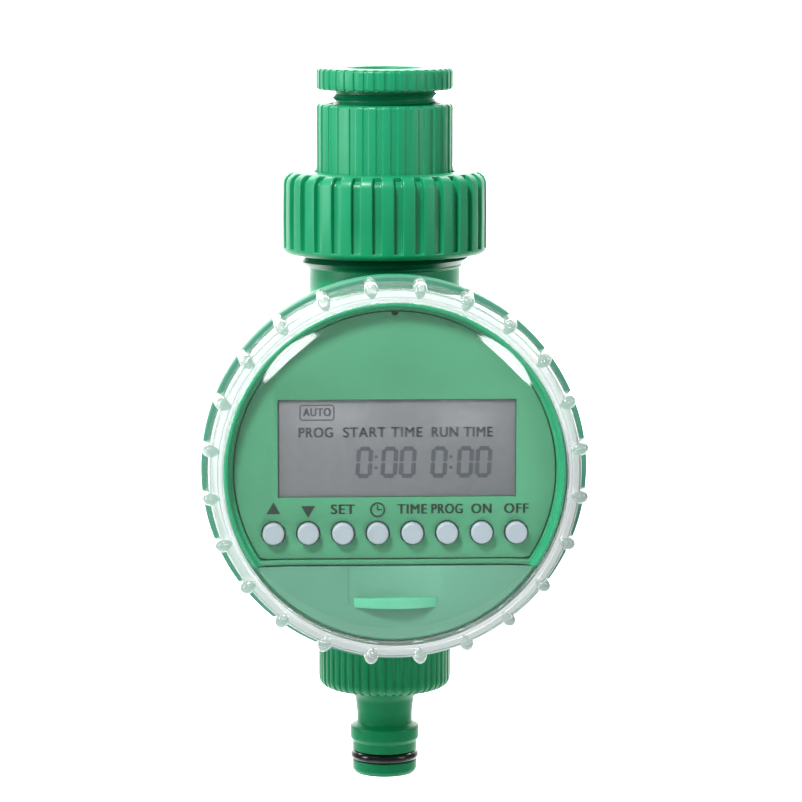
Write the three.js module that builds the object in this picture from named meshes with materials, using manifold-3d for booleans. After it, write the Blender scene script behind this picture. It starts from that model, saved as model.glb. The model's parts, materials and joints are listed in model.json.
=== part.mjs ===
// Electronic tap timer for drip irrigation.
//
// A battery clock in a round case drives a small motor, and the motor turns a ball valve in the
// water pipe behind the case. The pipe stands on the Z axis: a tap screws into the reducer at the
// top, and a hose fits onto the connector at the bottom. The case faces -Y.
//
// Units are millimetres. The origin is the middle of the reducer's top face, where the tap enters,
// so heights down the pipe are negative. The case is built in a group of its own, whose Z axis is
// the world's -Y and whose Y axis is the world's Z: there, a height is the distance in front of
// the pipe's axis, and x and y are measured from the middle of the dial.

import * as THREE from "three";
import { mergeVertices } from "three/addons/utils/BufferGeometryUtils.js";
import Module from "manifold-3d";

const wasm = await Module();
wasm.setup();

// ---- Driving dimensions -------------------------------------------------------------------

const GAP = 0.3; // between neighbours that touch
const ROUND = 28; // sides of a large turned piece
const DIAL_ROUND = 40; // sides of the case and its cover
const SMALL_ROUND = 14; // sides of a small turned piece

// Pipe threads: crest radii, with the clearance that lets a plain male fit a plain female.
const HALF_INCH_BORE_R = 9.5;
const THREE_QUARTER_R = 12.9;
const BODY_THREAD_R = 20.6;
const THREAD_PLAY = 0.35;

// Heights down the pipe.
const REDUCER_FLANGE_END = -5.3;
const ADAPTER_TOP = -8.8;
const REDUCER_END = -20;
const NUT_TOP = -25.4;
const ADAPTER_FLANGE_TOP = -28.7;
const ADAPTER_END = -31.7;
const BODY_TOP = -34.4;
const NUT_END = -45.7;
const NECK_TOP = -48.9;
const NECK_END = -60;
const BALL_Z = -82;
const DIAL_Z = -91.6;
const BODY_END = -97;
const NIPPLE_TOP = -132;
const COLLAR_TOP = -136.3;
const NIPPLE_END = -146.3;
const COLLAR_END = -154.9;
const SPIGOT_END = -177;

// Radii about the pipe.
const REDUCER_R = 16.9;
const ADAPTER_R = 16.9;
const ADAPTER_FLANGE_R = 20.4;
const NUT_R = 25.3;
const NECK_R = 18.7;
const CHAMBER_R = 14.5;
const PIPE_R = 8;
const WATERWAY_R = 5.2;
const COLLAR_R = 16.5;
const BALL_R = 9;

// Distances of the case's faces in front of the pipe's axis.
const COVER_FRONT = 66;
const WINDOW_BACK = 64;
const RIM_FRONT = 63;
const DOOR_FRONT = 61.2;
const LEDGE_FRONT = 60.6;
const PANEL_FRONT = 60;
const DOOR_BACK = 59.8;
const PANEL_BACK = 58.4;
const FLOOR_FRONT = 58.2;
const FLOOR_BACK = 56.2;
const BOARD_FRONT = 50;
const BOARD_BACK = 48.4;
const FLANGE_FRONT = 56;
const FLANGE_BACK = 52.6;
const POST_FACE = 45.2;
const CASE_BACK = 9.5;

// Radii about the middle of the dial.
const COVER_WALL_IN = 40.2;
const RIM_R = 39.7;
const FLANGE_R = 45.3;
const DOOR_R = 39.2;
const PANEL_R = 37.2;
const CAVITY_R = 37.6;
const DRUM_R = 44.3;

// The display window, the row of keys and the battery door, from the middle of the dial.
const WINDOW = { x: 0.5, y: 5.45, width: 55.9, height: 23.1 };
const KEY_NAMES = ["up", "down", "set", "clock", "time", "program", "on", "off"];
const KEY_PITCH = 8.14;
const KEY_Y = -14.5;
const KEY_R = 2.5;
const PANEL_CHORD = -20.5;
const DOOR_CHORD = -22.3;

// The battery bay takes two AAA cells that lie from front to back.
const CELL = { r: 5.25, x: 5.45, y: -28.8, back: 14, front: 58.5 };
const BAY = { halfWidth: 12.3, top: -22.6, bottom: -35.6, wall: 1.3, back: 9.8 };

// Case screws, from the middle of the dial.
const CASE_SCREW = { x: 22.5, y: 26.8 };
const BOARD_SCREW = { x: 33.2, y: -6.5 };

// The reduction gearbox: every stage is a 10-tooth pinion on a 30-tooth wheel.
const MODULE = 0.7;
const WHEEL_TEETH = 30;
const PINION_TEETH = 10;
const CENTRES = (MODULE * (WHEEL_TEETH + PINION_TEETH)) / 2;
const BALL_Y = BALL_Z - DIAL_Z;
const STAGE = { first: [20, 23.6], second: [23.6, 26.2], third: [26.2, 28.2] };
const GEARBOX = { left: -20, right: 25.2, bottom: -17.5, top: 22.6, back: 17.4, lid: 28.8 };

// ---- Materials ----------------------------------------------------------------------------

function plastic(colour, roughness) {
  return new THREE.MeshStandardMaterial({ color: colour, roughness, metalness: 0 });
}

function metal(colour, roughness) {
  return new THREE.MeshStandardMaterial({ color: colour, roughness, metalness: 1 });
}

const greenPlastic = plastic("#1f9a63", 0.42);
const panelPlastic = plastic("#3fa06c", 0.5);
const clearPlastic = new THREE.MeshStandardMaterial({
  color: "#e9f2ef",
  roughness: 0.08,
  metalness: 0,
  transparent: true,
  opacity: 0.3,
});
const keyPlastic = plastic("#c9d6df", 0.5);
const gearPlastic = plastic("#eceae2", 0.45);
const blackRubber = plastic("#1b1b1c", 0.6);
const whiteSeal = plastic("#e6e4dc", 0.5);
const displayGlass = plastic("#8b9092", 0.25);
const boardLaminate = plastic("#22663a", 0.5);
const cellSleeve = plastic("#3a3f45", 0.4);
const brightSteel = metal("#c3c5c7", 0.3);
const brass = metal("#c9a55a", 0.3);

// ---- Solids -------------------------------------------------------------------------------

// A closed three.js geometry as a solid, with its faces turned out.
function solid(geometry) {
  const bare = geometry.index ? geometry.toNonIndexed() : geometry.clone();
  for (const name of Object.keys(bare.attributes)) {
    if (name !== "position") bare.deleteAttribute(name);
  }
  const merged = mergeVertices(bare, 1e-4);
  const index = merged.index.array;
  const triangles = [];
  for (let i = 0; i < index.length; i += 3) {
    const [a, b, c] = index.slice(i, i + 3);
    const flat = a === b || b === c || c === a;
    if (!flat) triangles.push([a, b, c]);
  }
  const build = (list) =>
    new wasm.Manifold(
      new wasm.Mesh({
        numProp: 3,
        vertProperties: merged.attributes.position.array,
        triVerts: new Uint32Array(list.flat()),
      }),
    );
  const made = build(triangles);
  return made.volume() >= 0 ? made : build(triangles.map(([a, b, c]) => [a, c, b]));
}

// The ring swept about Z by a closed loop of [radius, height] corners.
function turnedGeometry(loop, sides) {
  const points = [...loop, loop[0]].map(([r, z]) => new THREE.Vector2(r, z));
  return new THREE.LatheGeometry(points, sides).rotateX(Math.PI / 2);
}

function turned(loop, sides = ROUND) {
  return solid(turnedGeometry(loop, sides));
}

// A tube about Z between two radii and two heights. An inner radius of 0 makes a disc.
function tube(inner, outer, low, high, sides = ROUND) {
  const loop = [
    [inner, low],
    [outer, low],
    [outer, high],
    [inner, high],
  ];
  return turned(loop, sides);
}

// A disc of radius r that stands at (x, y).
function post(x, y, r, low, high, sides = SMALL_ROUND) {
  const loop = [
    [0, low],
    [r, low],
    [r, high],
    [0, high],
  ];
  return solid(turnedGeometry(loop, sides).translate(x, y, 0));
}

// A round bar along the case's Y axis, which is the pipe's own direction.
function pipeBar(r, low, high, sides = ROUND) {
  const bar = new THREE.CylinderGeometry(r, r, high - low, sides);
  return solid(bar.translate(0, (high + low) / 2, 0));
}

function block([x0, x1], [y0, y1], [z0, z1]) {
  const box = new THREE.BoxGeometry(x1 - x0, y1 - y0, z1 - z0);
  return solid(box.translate((x0 + x1) / 2, (y0 + y1) / 2, (z0 + z1) / 2));
}

function prism(shape, low, high, curveSegments = 12) {
  const settings = { depth: high - low, bevelEnabled: false, curveSegments };
  return solid(new THREE.ExtrudeGeometry(shape, settings).translate(0, 0, low));
}

// A torus about Z.
function oRing(radius, section, height, sides = ROUND) {
  const torus = new THREE.TorusGeometry(radius, section, 6, sides);
  return solid(torus.translate(0, 0, height));
}

function polygon(points) {
  return new THREE.Shape(points.map(([x, y]) => new THREE.Vector2(x, y)));
}

function polar(radius, angle) {
  return [radius * Math.cos(angle), radius * Math.sin(angle)];
}

// The outline of a round grip: ribs stand at the crest radius, with grooves between them.
// Shares are parts of one pitch: the rib's flat top, and each of its two slopes.
function grip(ribs, crest, root, topShare, slopeShare) {
  const pitch = (2 * Math.PI) / ribs;
  const points = [];
  for (let i = 0; i < ribs; i++) {
    const middle = i * pitch;
    points.push(polar(root, middle - (topShare / 2 + slopeShare) * pitch));
    points.push(polar(crest, middle - (topShare / 2) * pitch));
    points.push(polar(crest, middle + (topShare / 2) * pitch));
    points.push(polar(root, middle + (topShare / 2 + slopeShare) * pitch));
  }
  return polygon(points);
}

// The outline of a fine grip: sharp ribs between two radii.
function knurl(ribs, crest, root) {
  const step = Math.PI / ribs;
  return polygon(Array.from({ length: 2 * ribs }, (_, i) => polar(i % 2 ? root : crest, i * step)));
}

// The part of a disc above the line y = chord, with its two corners taken off.
function chordedDisc(radius, chord, corner) {
  const x = Math.sqrt((radius - corner) ** 2 - (chord + corner) ** 2);
  const bearing = Math.atan2(chord + corner, x);
  const shape = new THREE.Shape();
  shape.moveTo(-x, chord);
  shape.lineTo(x, chord);
  shape.absarc(0, 0, radius, bearing, Math.PI - bearing, false);
  return shape;
}

function chordedPlate(radius, chord, corner, low, high) {
  return prism(chordedDisc(radius, chord, corner), low, high, 26);
}

// The same, for the part of the disc below the line.
function lowerPlate(radius, chord, corner, low, high) {
  return chordedPlate(radius, -chord, corner, low, high).rotate([0, 0, 180]);
}

function roundedRectangle(width, height, corner) {
  const [x, y] = [width / 2, height / 2];
  const shape = new THREE.Shape();
  shape.moveTo(-x + corner, -y);
  shape.absarc(x - corner, -y + corner, corner, -Math.PI / 2, 0, false);
  shape.absarc(x - corner, y - corner, corner, 0, Math.PI / 2, false);
  shape.absarc(-x + corner, y - corner, corner, Math.PI / 2, Math.PI, false);
  shape.absarc(-x + corner, -y + corner, corner, Math.PI, (3 * Math.PI) / 2, false);
  return shape;
}

function joined(pieces) {
  return pieces.reduce((whole, piece) => whole.add(piece));
}

function cut(whole, pieces) {
  return pieces.reduce((rest, piece) => rest.subtract(piece), whole);
}

function part(name, made, material) {
  const raw = made.getMesh();
  const vertices = new Float32Array(raw.numVert * 3);
  for (let i = 0; i < raw.numVert; i++) {
    const start = i * raw.numProp;
    vertices.set(raw.vertProperties.subarray(start, start + 3), i * 3);
  }
  const indexed = new THREE.BufferGeometry();
  indexed.setAttribute("position", new THREE.BufferAttribute(vertices, 3));
  indexed.setIndex(new THREE.BufferAttribute(new Uint32Array(raw.triVerts), 1));
  const geometry = indexed.toNonIndexed();
  geometry.computeVertexNormals();
  const mesh = new THREE.Mesh(geometry, material);
  mesh.name = name;
  return mesh;
}

// ---- Inlet fittings -----------------------------------------------------------------------

// A flanged bush: 1/2 inch female for the tap, 3/4 inch male into the adapter.
function reducer() {
  const ledge = -14;
  const flange = prism(knurl(40, REDUCER_R, REDUCER_R - 0.5), REDUCER_FLANGE_END, 0);
  const shank = tube(0, THREE_QUARTER_R, REDUCER_END, REDUCER_FLANGE_END + 1);
  const bore = turned([
    [0, 1],
    [11.9, 1],
    [HALF_INCH_BORE_R, -1.4],
    [HALF_INCH_BORE_R, ledge],
    [7.4, ledge],
    [7.4, REDUCER_END - 1],
    [0, REDUCER_END - 1],
  ]);
  return part("reducer", cut(flange.add(shank), [bore]), greenPlastic);
}

function reducerWasher() {
  return part("reducer_washer", tube(7.3, HALF_INCH_BORE_R - GAP, -13.7, -12), blackRubber);
}

// The fluted sleeve that the nut clamps to the body: 3/4 inch female at the top.
function tapAdapter() {
  const seat = -24.5;
  const sleeve = prism(knurl(32, ADAPTER_R, ADAPTER_R - 0.6), ADAPTER_FLANGE_TOP - 0.5, ADAPTER_TOP);
  const flange = tube(0, ADAPTER_FLANGE_R, ADAPTER_END, ADAPTER_FLANGE_TOP);
  const socket = tube(0, THREE_QUARTER_R + THREAD_PLAY, seat, 0);
  const throat = tube(0, 9, ADAPTER_END - 1, seat + 1);
  return part("tap_adapter", cut(sleeve.add(flange), [socket, throat]), greenPlastic);
}

function inletWasher() {
  return part("inlet_washer", tube(13.2, 20.2, BODY_TOP + GAP, ADAPTER_END - GAP), blackRubber);
}

// A disc of square holes that keeps grit out of the valve.
function inletFilter() {
  const [low, high] = [BODY_TOP + GAP, BODY_TOP + 2];
  const rows = [-2, -1, 0, 1, 2];
  const holes = rows.flatMap((i) =>
    rows
      .filter((j) => Math.hypot(i, j) < 2.1)
      .map((j) => {
        const [x, y] = [3.6 * i, 3.6 * j];
        return block([x - 1.3, x + 1.3], [y - 1.3, y + 1.3], [low - 1, high + 1]);
      }),
  );
  const well = tube(0, 10.6, low + 1, high + 1);
  return part("inlet_filter", cut(tube(0, 12.9, low, high), [...holes, well]), gearPlastic);
}

// The large ribbed nut on the body's own thread.
function couplingNut() {
  const ribFrom = -28;
  const ribTo = -43.7;
  const shoulder = turned([
    [0, ribFrom],
    [NUT_R - 0.2, ribFrom],
    [NUT_R - 0.8, NUT_TOP + 0.9],
    [NUT_R - 2.6, NUT_TOP],
    [0, NUT_TOP],
  ]);
  const ribs = prism(grip(30, NUT_R, NUT_R - 1.6, 0.5, 0.07), ribTo - 0.1, ribFrom + 0.1);
  const foot = tube(0, NUT_R, NUT_END, ribTo);
  const thread = tube(0, BODY_THREAD_R + THREAD_PLAY + 0.25, NUT_END - 1, ADAPTER_FLANGE_TOP + GAP);
  const mouth = tube(0, ADAPTER_R + 0.4, NUT_END, NUT_TOP + 1);
  return part("coupling_nut", cut(joined([shoulder, ribs, foot]), [thread, mouth]), greenPlastic);
}

// ---- Ball valve ---------------------------------------------------------------------------

// The stem leaves the ball towards the case, so its bore and bosses lie along -Y.
function alongStem(solidFor) {
  return solidFor().rotate([90, 0, 0]).translate([0, 0, BALL_Z]);
}

function valveBody() {
  const outside = turned([
    [0, BODY_TOP],
    [BODY_THREAD_R, BODY_TOP],
    [BODY_THREAD_R, NECK_TOP + 0.2],
    [NECK_R, NECK_TOP],
    [NECK_R, NECK_END],
    [CHAMBER_R, NECK_END - 3],
    [CHAMBER_R, BODY_END],
    [0, BODY_END],
  ]);
  const waterway = turned([
    [0, BODY_TOP + 1],
    [15, BODY_TOP + 1],
    [15, -54],
    [WATERWAY_R, -62],
    [WATERWAY_R, -71.5],
    [BALL_R + 0.5, -71.5],
    [BALL_R + 0.5, BODY_END - 1],
    [0, BODY_END - 1],
  ]);
  const boss = alongStem(() => tube(0, 7, 4, 17, SMALL_ROUND));
  const pad = alongStem(() => block([-12, 12], [-9, 9], [13.5, 17]));
  const stemBore = alongStem(() => tube(0, 3.3, 3, 18, SMALL_ROUND));
  const gland = alongStem(() => tube(0, 4.9, 10.5, 18, SMALL_ROUND));
  const body = cut(joined([outside, boss, pad]), [waterway, stemBore, gland]);
  return part("valve_body", body, greenPlastic);
}

function outletTube() {
  const outside = turned([
    [0, -92.6],
    [BALL_R + 0.2, -92.6],
    [BALL_R + 0.2, BODY_END - GAP],
    [CHAMBER_R, BODY_END - GAP],
    [CHAMBER_R, -100],
    [PIPE_R, -102],
    [PIPE_R, NIPPLE_TOP + 2],
    [THREE_QUARTER_R, NIPPLE_TOP],
    [THREE_QUARTER_R, NIPPLE_END],
    [0, NIPPLE_END],
  ]);
  const waterway = turned([
    [0, -91],
    [WATERWAY_R, -91],
    [WATERWAY_R, -132],
    [9, -136],
    [9, NIPPLE_END - 1],
    [0, NIPPLE_END - 1],
  ]);
  return part("outlet_tube", cut(outside, [waterway]), greenPlastic);
}

function ballSeat(name, low, high) {
  const ring = tube(5.4, BALL_R + 0.2, low, high, 18);
  const hollow = new THREE.SphereGeometry(BALL_R + GAP, 18, 11).rotateX(Math.PI / 2);
  return part(name, cut(ring, [solid(hollow.translate(0, 0, BALL_Z))]), whiteSeal);
}

// At rest the valve is shut, so the ball's bore lies along X.
function ball() {
  const sphere = solid(new THREE.SphereGeometry(BALL_R, 18, 11));
  const bore = solid(new THREE.CylinderGeometry(5, 5, 20, SMALL_ROUND).rotateZ(Math.PI / 2));
  const slot = block([-1.4, 1.4], [-BALL_R - 1, -BALL_R + 2.6], [-4, 4]);
  const mesh = part("valve_ball", cut(sphere, [bore, slot]), gearPlastic);
  mesh.position.z = BALL_Z;
  return mesh;
}

// ---- Outlet fittings ----------------------------------------------------------------------

function connectorWasher() {
  return part("connector_washer", tube(5.5, 12.9, -148.8, NIPPLE_END - GAP), blackRubber);
}

// A ribbed collar on the outlet's thread, with the spigot that takes a hose coupling.
function hoseConnector() {
  const collar = prism(knurl(54, COLLAR_R, COLLAR_R - 0.4), COLLAR_END + 2, COLLAR_TOP);
  const spigot = turned([
    [0, COLLAR_END + 2.2],
    [COLLAR_R - 0.7, COLLAR_END + 2.2],
    [COLLAR_R - 2.2, COLLAR_END],
    [8.4, COLLAR_END],
    [7, COLLAR_END - 3],
    [7, -163.9],
    [8.64, -165.3],
    [8.64, -167.2],
    [8.07, -168.9],
    [8.07, -171],
    [6, -171],
    [6, -173.9],
    [8.07, -173.9],
    [7.8, SPIGOT_END],
    [0, SPIGOT_END],
  ]);
  const bore = turned([
    [0, COLLAR_TOP + 1],
    [THREE_QUARTER_R + THREAD_PLAY, COLLAR_TOP + 1],
    [THREE_QUARTER_R + THREAD_PLAY, -149.1],
    [4.5, -149.1],
    [4.5, SPIGOT_END - 1],
    [0, SPIGOT_END - 1],
  ]);
  return part("hose_connector", cut(collar.add(spigot), [bore]), greenPlastic);
}

function connectorORing() {
  return part("connector_o_ring", oRing(7.4, 1.2, -172.45, 24), blackRubber);
}

// ---- Case ---------------------------------------------------------------------------------

const fourCorners = (place) => [-1, 1].flatMap((sx) => [-1, 1].map((sy) => [sx * place.x, sy * place.y]));
const keyX = (index) => (index - (KEY_NAMES.length - 1) / 2) * KEY_PITCH;

function frontHousing() {
  const rim = tube(0, RIM_R, FLANGE_BACK, RIM_FRONT, DIAL_ROUND);
  const flange = tube(0, FLANGE_R, FLANGE_BACK, FLANGE_FRONT, DIAL_ROUND);
  const bayWalls = block(
    [-BAY.halfWidth - BAY.wall, BAY.halfWidth + BAY.wall],
    [BAY.bottom - BAY.wall, BAY.top + BAY.wall],
    [BAY.back - 1, FLOOR_BACK + 0.5],
  );
  const dish = turned(
    [
      [0, LEDGE_FRONT],
      [38.2, LEDGE_FRONT],
      [38.8, RIM_FRONT],
      [38.8, RIM_FRONT + 1],
      [0, RIM_FRONT + 1],
    ],
    DIAL_ROUND,
  );
  const cavity = tube(0, CAVITY_R, FLANGE_BACK - 1, FLOOR_BACK, DIAL_ROUND);
  const pocket = chordedPlate(PANEL_R + GAP, PANEL_CHORD - GAP, 2.8, FLOOR_FRONT, RIM_FRONT);
  const doorStep = block([-50, 50], [-50, DOOR_CHORD + GAP], [DOOR_BACK - GAP, RIM_FRONT + 1]);
  const glassHole = block([-29.8, 29.8], [WINDOW.y - 13.3, WINDOW.y + 13.3], [50, 59]);
  const keySlot = block([-33, 33], [KEY_Y - 3.5, KEY_Y + 3.5], [50, 59]);
  const bay = block([-BAY.halfWidth, BAY.halfWidth], [BAY.bottom, BAY.top], [BAY.back, 61]);
  const contactSlot = block([-1.2, 1.2], [-24.5, BAY.top + 3], [BAY.back - 2, BAY.back + 3]);
  const casePosts = fourCorners(CASE_SCREW).map(([x, y]) => post(x, y, 3.6, POST_FACE, FLOOR_BACK + 0.5));
  const boardPosts = [-1, 1].map((s) =>
    post(s * BOARD_SCREW.x, BOARD_SCREW.y, 2.4, BOARD_FRONT + GAP, FLOOR_BACK + 0.5),
  );
  const casePilots = fourCorners(CASE_SCREW).map(([x, y]) => post(x, y, 1.75, POST_FACE - 1, 52, 12));
  const boardPilots = [-1, 1].map((s) => post(s * BOARD_SCREW.x, BOARD_SCREW.y, 1.4, 50, 55, 12));
  const shell = cut(rim.add(flange), [dish, cavity, pocket, doorStep]);
  const fitted = joined([shell, bayWalls, ...casePosts, ...boardPosts]);
  const holes = [glassHole, keySlot, bay, contactSlot, ...casePilots, ...boardPilots];
  return part("front_housing", cut(fitted, holes), greenPlastic);
}

function rearHousing() {
  const face = FLANGE_BACK - GAP;
  const drum = turned(
    [
      [0, CASE_BACK],
      [37, CASE_BACK],
      [41.5, CASE_BACK + 1.6],
      [43.6, CASE_BACK + 5.5],
      [DRUM_R, face - 3.3],
      [FLANGE_R, face - 2.9],
      [FLANGE_R, face],
      [0, face],
    ],
    DIAL_ROUND,
  );
  const [neckEnd, nippleEnd] = [-54.5 - DIAL_Z, -133 - DIAL_Z];
  const pipeCase = pipeBar(21.5, nippleEnd, neckEnd);
  const room = tube(0, 41.6, CASE_BACK + 2.4, face + 1, DIAL_ROUND);
  const pipeRoom = pipeBar(19.2, nippleEnd + 2.5, neckEnd - 2.5);
  const neckHole = pipeBar(NECK_R + GAP, neckEnd - 4, 50);
  const threadHole = pipeBar(BODY_THREAD_R + 0.4, NECK_TOP - GAP - DIAL_Z, 50);
  const nippleHole = pipeBar(THREE_QUARTER_R + 0.5, -50, nippleEnd + 4);
  const sealGroove = tube(40.9, 43.1, face - 1.3, face + 1, DIAL_ROUND);
  const posts = fourCorners(CASE_SCREW).map(([x, y]) => post(x, y, 4.6, CASE_BACK + 0.5, POST_FACE - 0.5));
  const wells = fourCorners(CASE_SCREW).map(([x, y]) => post(x, y, 3.4, CASE_BACK - 1, 34.2));
  const holes = fourCorners(CASE_SCREW).map(([x, y]) => post(x, y, 1.8, 30, POST_FACE + 1, 12));
  const shell = cut(drum.add(pipeCase), [room, pipeRoom, neckHole, threadHole, nippleHole]);
  const fitted = cut(joined([shell, ...posts]), [sealGroove, ...wells, ...holes]);
  return part("rear_housing", fitted, greenPlastic);
}

function housingGasket() {
  const face = FLANGE_BACK - GAP;
  return part("housing_gasket", tube(41.1, 42.9, face - 1.1, face + 0.1, DIAL_ROUND), blackRubber);
}

function facePlate() {
  const plate = chordedPlate(PANEL_R, PANEL_CHORD, 2.5, PANEL_BACK, PANEL_FRONT);
  const [w, h] = [WINDOW.width / 2, WINDOW.height / 2];
  const window = block([WINDOW.x - w, WINDOW.x + w], [WINDOW.y - h, WINDOW.y + h], [57, 61]);
  const keyHoles = KEY_NAMES.map((_, i) => post(keyX(i), KEY_Y, KEY_R + 0.25, 57, 61, 12));
  const notch = block([-1, 1], [PANEL_R - 0.8, PANEL_R + 1], [57, 61]);
  return part("face_plate", cut(plate, [window, notch, ...keyHoles]), panelPlastic);
}

function displayPanel() {
  const glass = block([-29.5, 29.5], [WINDOW.y - 13, WINDOW.y + 13], [55.5, FLOOR_FRONT]);
  return part("lcd_glass", glass, displayGlass);
}

function displayFrame() {
  const [low, high] = [WINDOW.y - 13.9, WINDOW.y + 13.9];
  const outside = block([-30.2, 30.2], [low, high], [BOARD_FRONT + GAP, 55.2]);
  const inside = block([-28, 28], [WINDOW.y - 11.5, WINDOW.y + 11.5], [45, 54]);
  return part("lcd_frame", cut(outside, [inside]), gearPlastic);
}

// The board carries one tact switch behind each key.
function circuitBoard() {
  const board = chordedPlate(36, -20.8, 2, BOARD_BACK, BOARD_FRONT);
  const switches = KEY_NAMES.flatMap((_, i) => [
    block([keyX(i) - 3, keyX(i) + 3], [KEY_Y - 3, KEY_Y + 3], [BOARD_FRONT - 0.2, 54]),
    block([keyX(i) - 1.2, keyX(i) + 1.2], [KEY_Y - 1.2, KEY_Y + 1.2], [53.8, 55.7]),
  ]);
  const chip = block([-8, 8], [-2, 12], [BOARD_BACK - 2.2, BOARD_BACK + 0.2]);
  const postHoles = fourCorners(CASE_SCREW).map(([x, y]) => post(x, y, 4, 47, 51, 16));
  const screwHoles = [-1, 1].map((s) => post(s * BOARD_SCREW.x, BOARD_SCREW.y, 1.4, 47, 51, 12));
  const loaded = joined([board, ...switches, chip]);
  return part("circuit_board", cut(loaded, [...postHoles, ...screwHoles]), boardLaminate);
}

// A round cap with a collar that keeps it behind the plate.
function key(name, index) {
  const cap = turned(
    [
      [0, 57],
      [3.1, 57],
      [3.1, 58.1],
      [KEY_R, 58.1],
      [KEY_R, 61.8],
      [0, 61.8],
    ],
    12,
  );
  const mesh = part("button_" + name, cap, keyPlastic);
  mesh.position.set(keyX(index), KEY_Y, 0);
  return mesh;
}

// A pan head screw whose tip points forwards.
function screw(name, [x, y], under, headR, headH, shankR, length) {
  const loop = [
    [0, under - headH],
    [headR - 0.5, under - headH],
    [headR, under - headH + 0.5],
    [headR, under],
    [shankR, under],
    [shankR, under + length - 1],
    [0, under + length],
  ];
  const slot = block([-headR, headR], [-0.4, 0.4], [under - headH - 1, under - headH + 0.8]);
  const mesh = part(name, cut(turned(loop, 12), [slot]), brightSteel);
  mesh.position.set(x, y, 0);
  return mesh;
}

// ---- Battery drawer -----------------------------------------------------------------------

function batteryDrawer() {
  const door = lowerPlate(DOOR_R, DOOR_CHORD, 1.2, DOOR_BACK, DOOR_FRONT);
  const lipShape = new THREE.Shape();
  const [halfLip, rise] = [9.3, 2.2];
  const lipR = (halfLip ** 2 + rise ** 2) / (2 * rise);
  const spread = Math.asin(halfLip / lipR);
  lipShape.absarc(0, rise - lipR, lipR, Math.PI / 2 - spread, Math.PI / 2 + spread, false);
  const settings = { depth: 1.6, bevelEnabled: false, curveSegments: 14 };
  const lip = new THREE.ExtrudeGeometry(lipShape, settings).rotateX(Math.PI / 2);
  const pull = solid(lip.translate(0, -30.2, DOOR_FRONT - 0.15));
  const thumb = block([-11.3, 11.3], [-30.2, DOOR_CHORD + 1], [DOOR_FRONT - 0.4, DOOR_FRONT + 0.3]);
  const tray = block([-11.9, 11.9], [-35.2, -23.6], [13.5, DOOR_BACK + 0.5]);
  const inside = block([-11, 11], [-34.4, -20], [12, DOOR_BACK - 0.3]);
  const shelf = cut(tray, [inside]);
  return part("battery_drawer", joined([cut(door, [thumb]), pull, shelf]), greenPlastic);
}

// An AAA cell. Its button points along +Z where direction is 1, and back where it is -1.
function cell(name, x, direction) {
  const half = (CELL.front - CELL.back) / 2;
  const loop = [
    [0, -half],
    [CELL.r - 0.4, -half],
    [CELL.r, -half + 0.4],
    [CELL.r, half - 1.4],
    [CELL.r - 0.5, half - 0.9],
    [1.9, half - 0.9],
    [1.9, half],
    [0, half],
  ];
  const mesh = part(name, turned(loop, SMALL_ROUND), cellSleeve);
  mesh.position.set(x, CELL.y, (CELL.front + CELL.back) / 2);
  mesh.rotation.x = direction > 0 ? 0 : Math.PI;
  return mesh;
}

function batteryLink() {
  const link = block([-9, 9], [CELL.y - 3.2, CELL.y + 3.2], [CELL.front + GAP, CELL.front + 0.8]);
  return part("battery_link", link, brightSteel);
}

// The coil that presses on one cell's flat end.
function contactSpring() {
  const turns = 2.5;
  const steps = 24;
  const points = Array.from({ length: steps + 1 }, (_, i) => {
    const t = i / steps;
    const [x, y] = polar(3.6 - 1.4 * t, 2 * Math.PI * turns * t);
    return new THREE.Vector3(x, y, 0.4 + 2.6 * t);
  });
  const path = new THREE.CatmullRomCurve3(points);
  const wire = polygon(Array.from({ length: 5 }, (_, i) => polar(0.35, (i * 2 * Math.PI) / 5)));
  const settings = { extrudePath: path, steps: 30, bevelEnabled: false };
  const coil = solid(new THREE.ExtrudeGeometry(wire, settings));
  const mesh = part("contact_spring", coil, brightSteel);
  mesh.position.set(CELL.x, CELL.y, BAY.back + GAP);
  return mesh;
}

function contactPlate() {
  const [x, y, back] = [-CELL.x, CELL.y, BAY.back + GAP];
  const foot = block([x - 3.5, x + 3.5], [y - 3.5, y + 3.5], [back, back + 0.5]);
  const dome = post(x, y, 1.8, back, CELL.back - GAP, 12);
  return part("contact_plate", foot.add(dome), brightSteel);
}

// ---- Gearbox ------------------------------------------------------------------------------

const bearingFrom = (a, b) => Math.atan2(b[1] - a[1], b[0] - a[0]);
const stepFrom = (a, degrees) => {
  const [dx, dy] = polar(CENTRES, THREE.MathUtils.degToRad(degrees));
  return [a[0] + dx, a[1] + dy];
};
const OUTPUT_AXIS = [0, BALL_Y];
const SECOND_AXIS = stepFrom(OUTPUT_AXIS, -30);
const FIRST_AXIS = stepFrom(SECOND_AXIS, -150);
const MOTOR_AXIS = stepFrom(FIRST_AXIS, 180);

// An involute spur gear's outline, with a tooth centred on the bearing toothAt.
function gearShape(teeth, toothAt) {
  const pressure = THREE.MathUtils.degToRad(20);
  const pitchR = (MODULE * teeth) / 2;
  const baseR = pitchR * Math.cos(pressure);
  const involute = (a) => Math.tan(a) - a;
  const backlash = 0.09 / pitchR;
  const halfTooth = (r) => {
    const a = Math.acos(Math.min(1, baseR / r));
    return Math.PI / (2 * teeth) + involute(pressure) - involute(a) - backlash;
  };
  const rootR = pitchR - 1.3 * MODULE;
  const tipR = pitchR + 0.85 * MODULE;
  const flank = [
    [rootR, halfTooth(Math.max(rootR, baseR)) * (rootR < baseR ? 0.9 : 1.15)],
    [tipR, halfTooth(tipR)],
  ];
  const points = [];
  for (let i = 0; i < teeth; i++) {
    const middle = toothAt + (2 * Math.PI * i) / teeth;
    for (const [r, half] of flank) points.push(polar(r, middle - half));
    for (const [r, half] of [...flank].reverse()) points.push(polar(r, middle + half));
  }
  return polygon(points);
}

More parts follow.
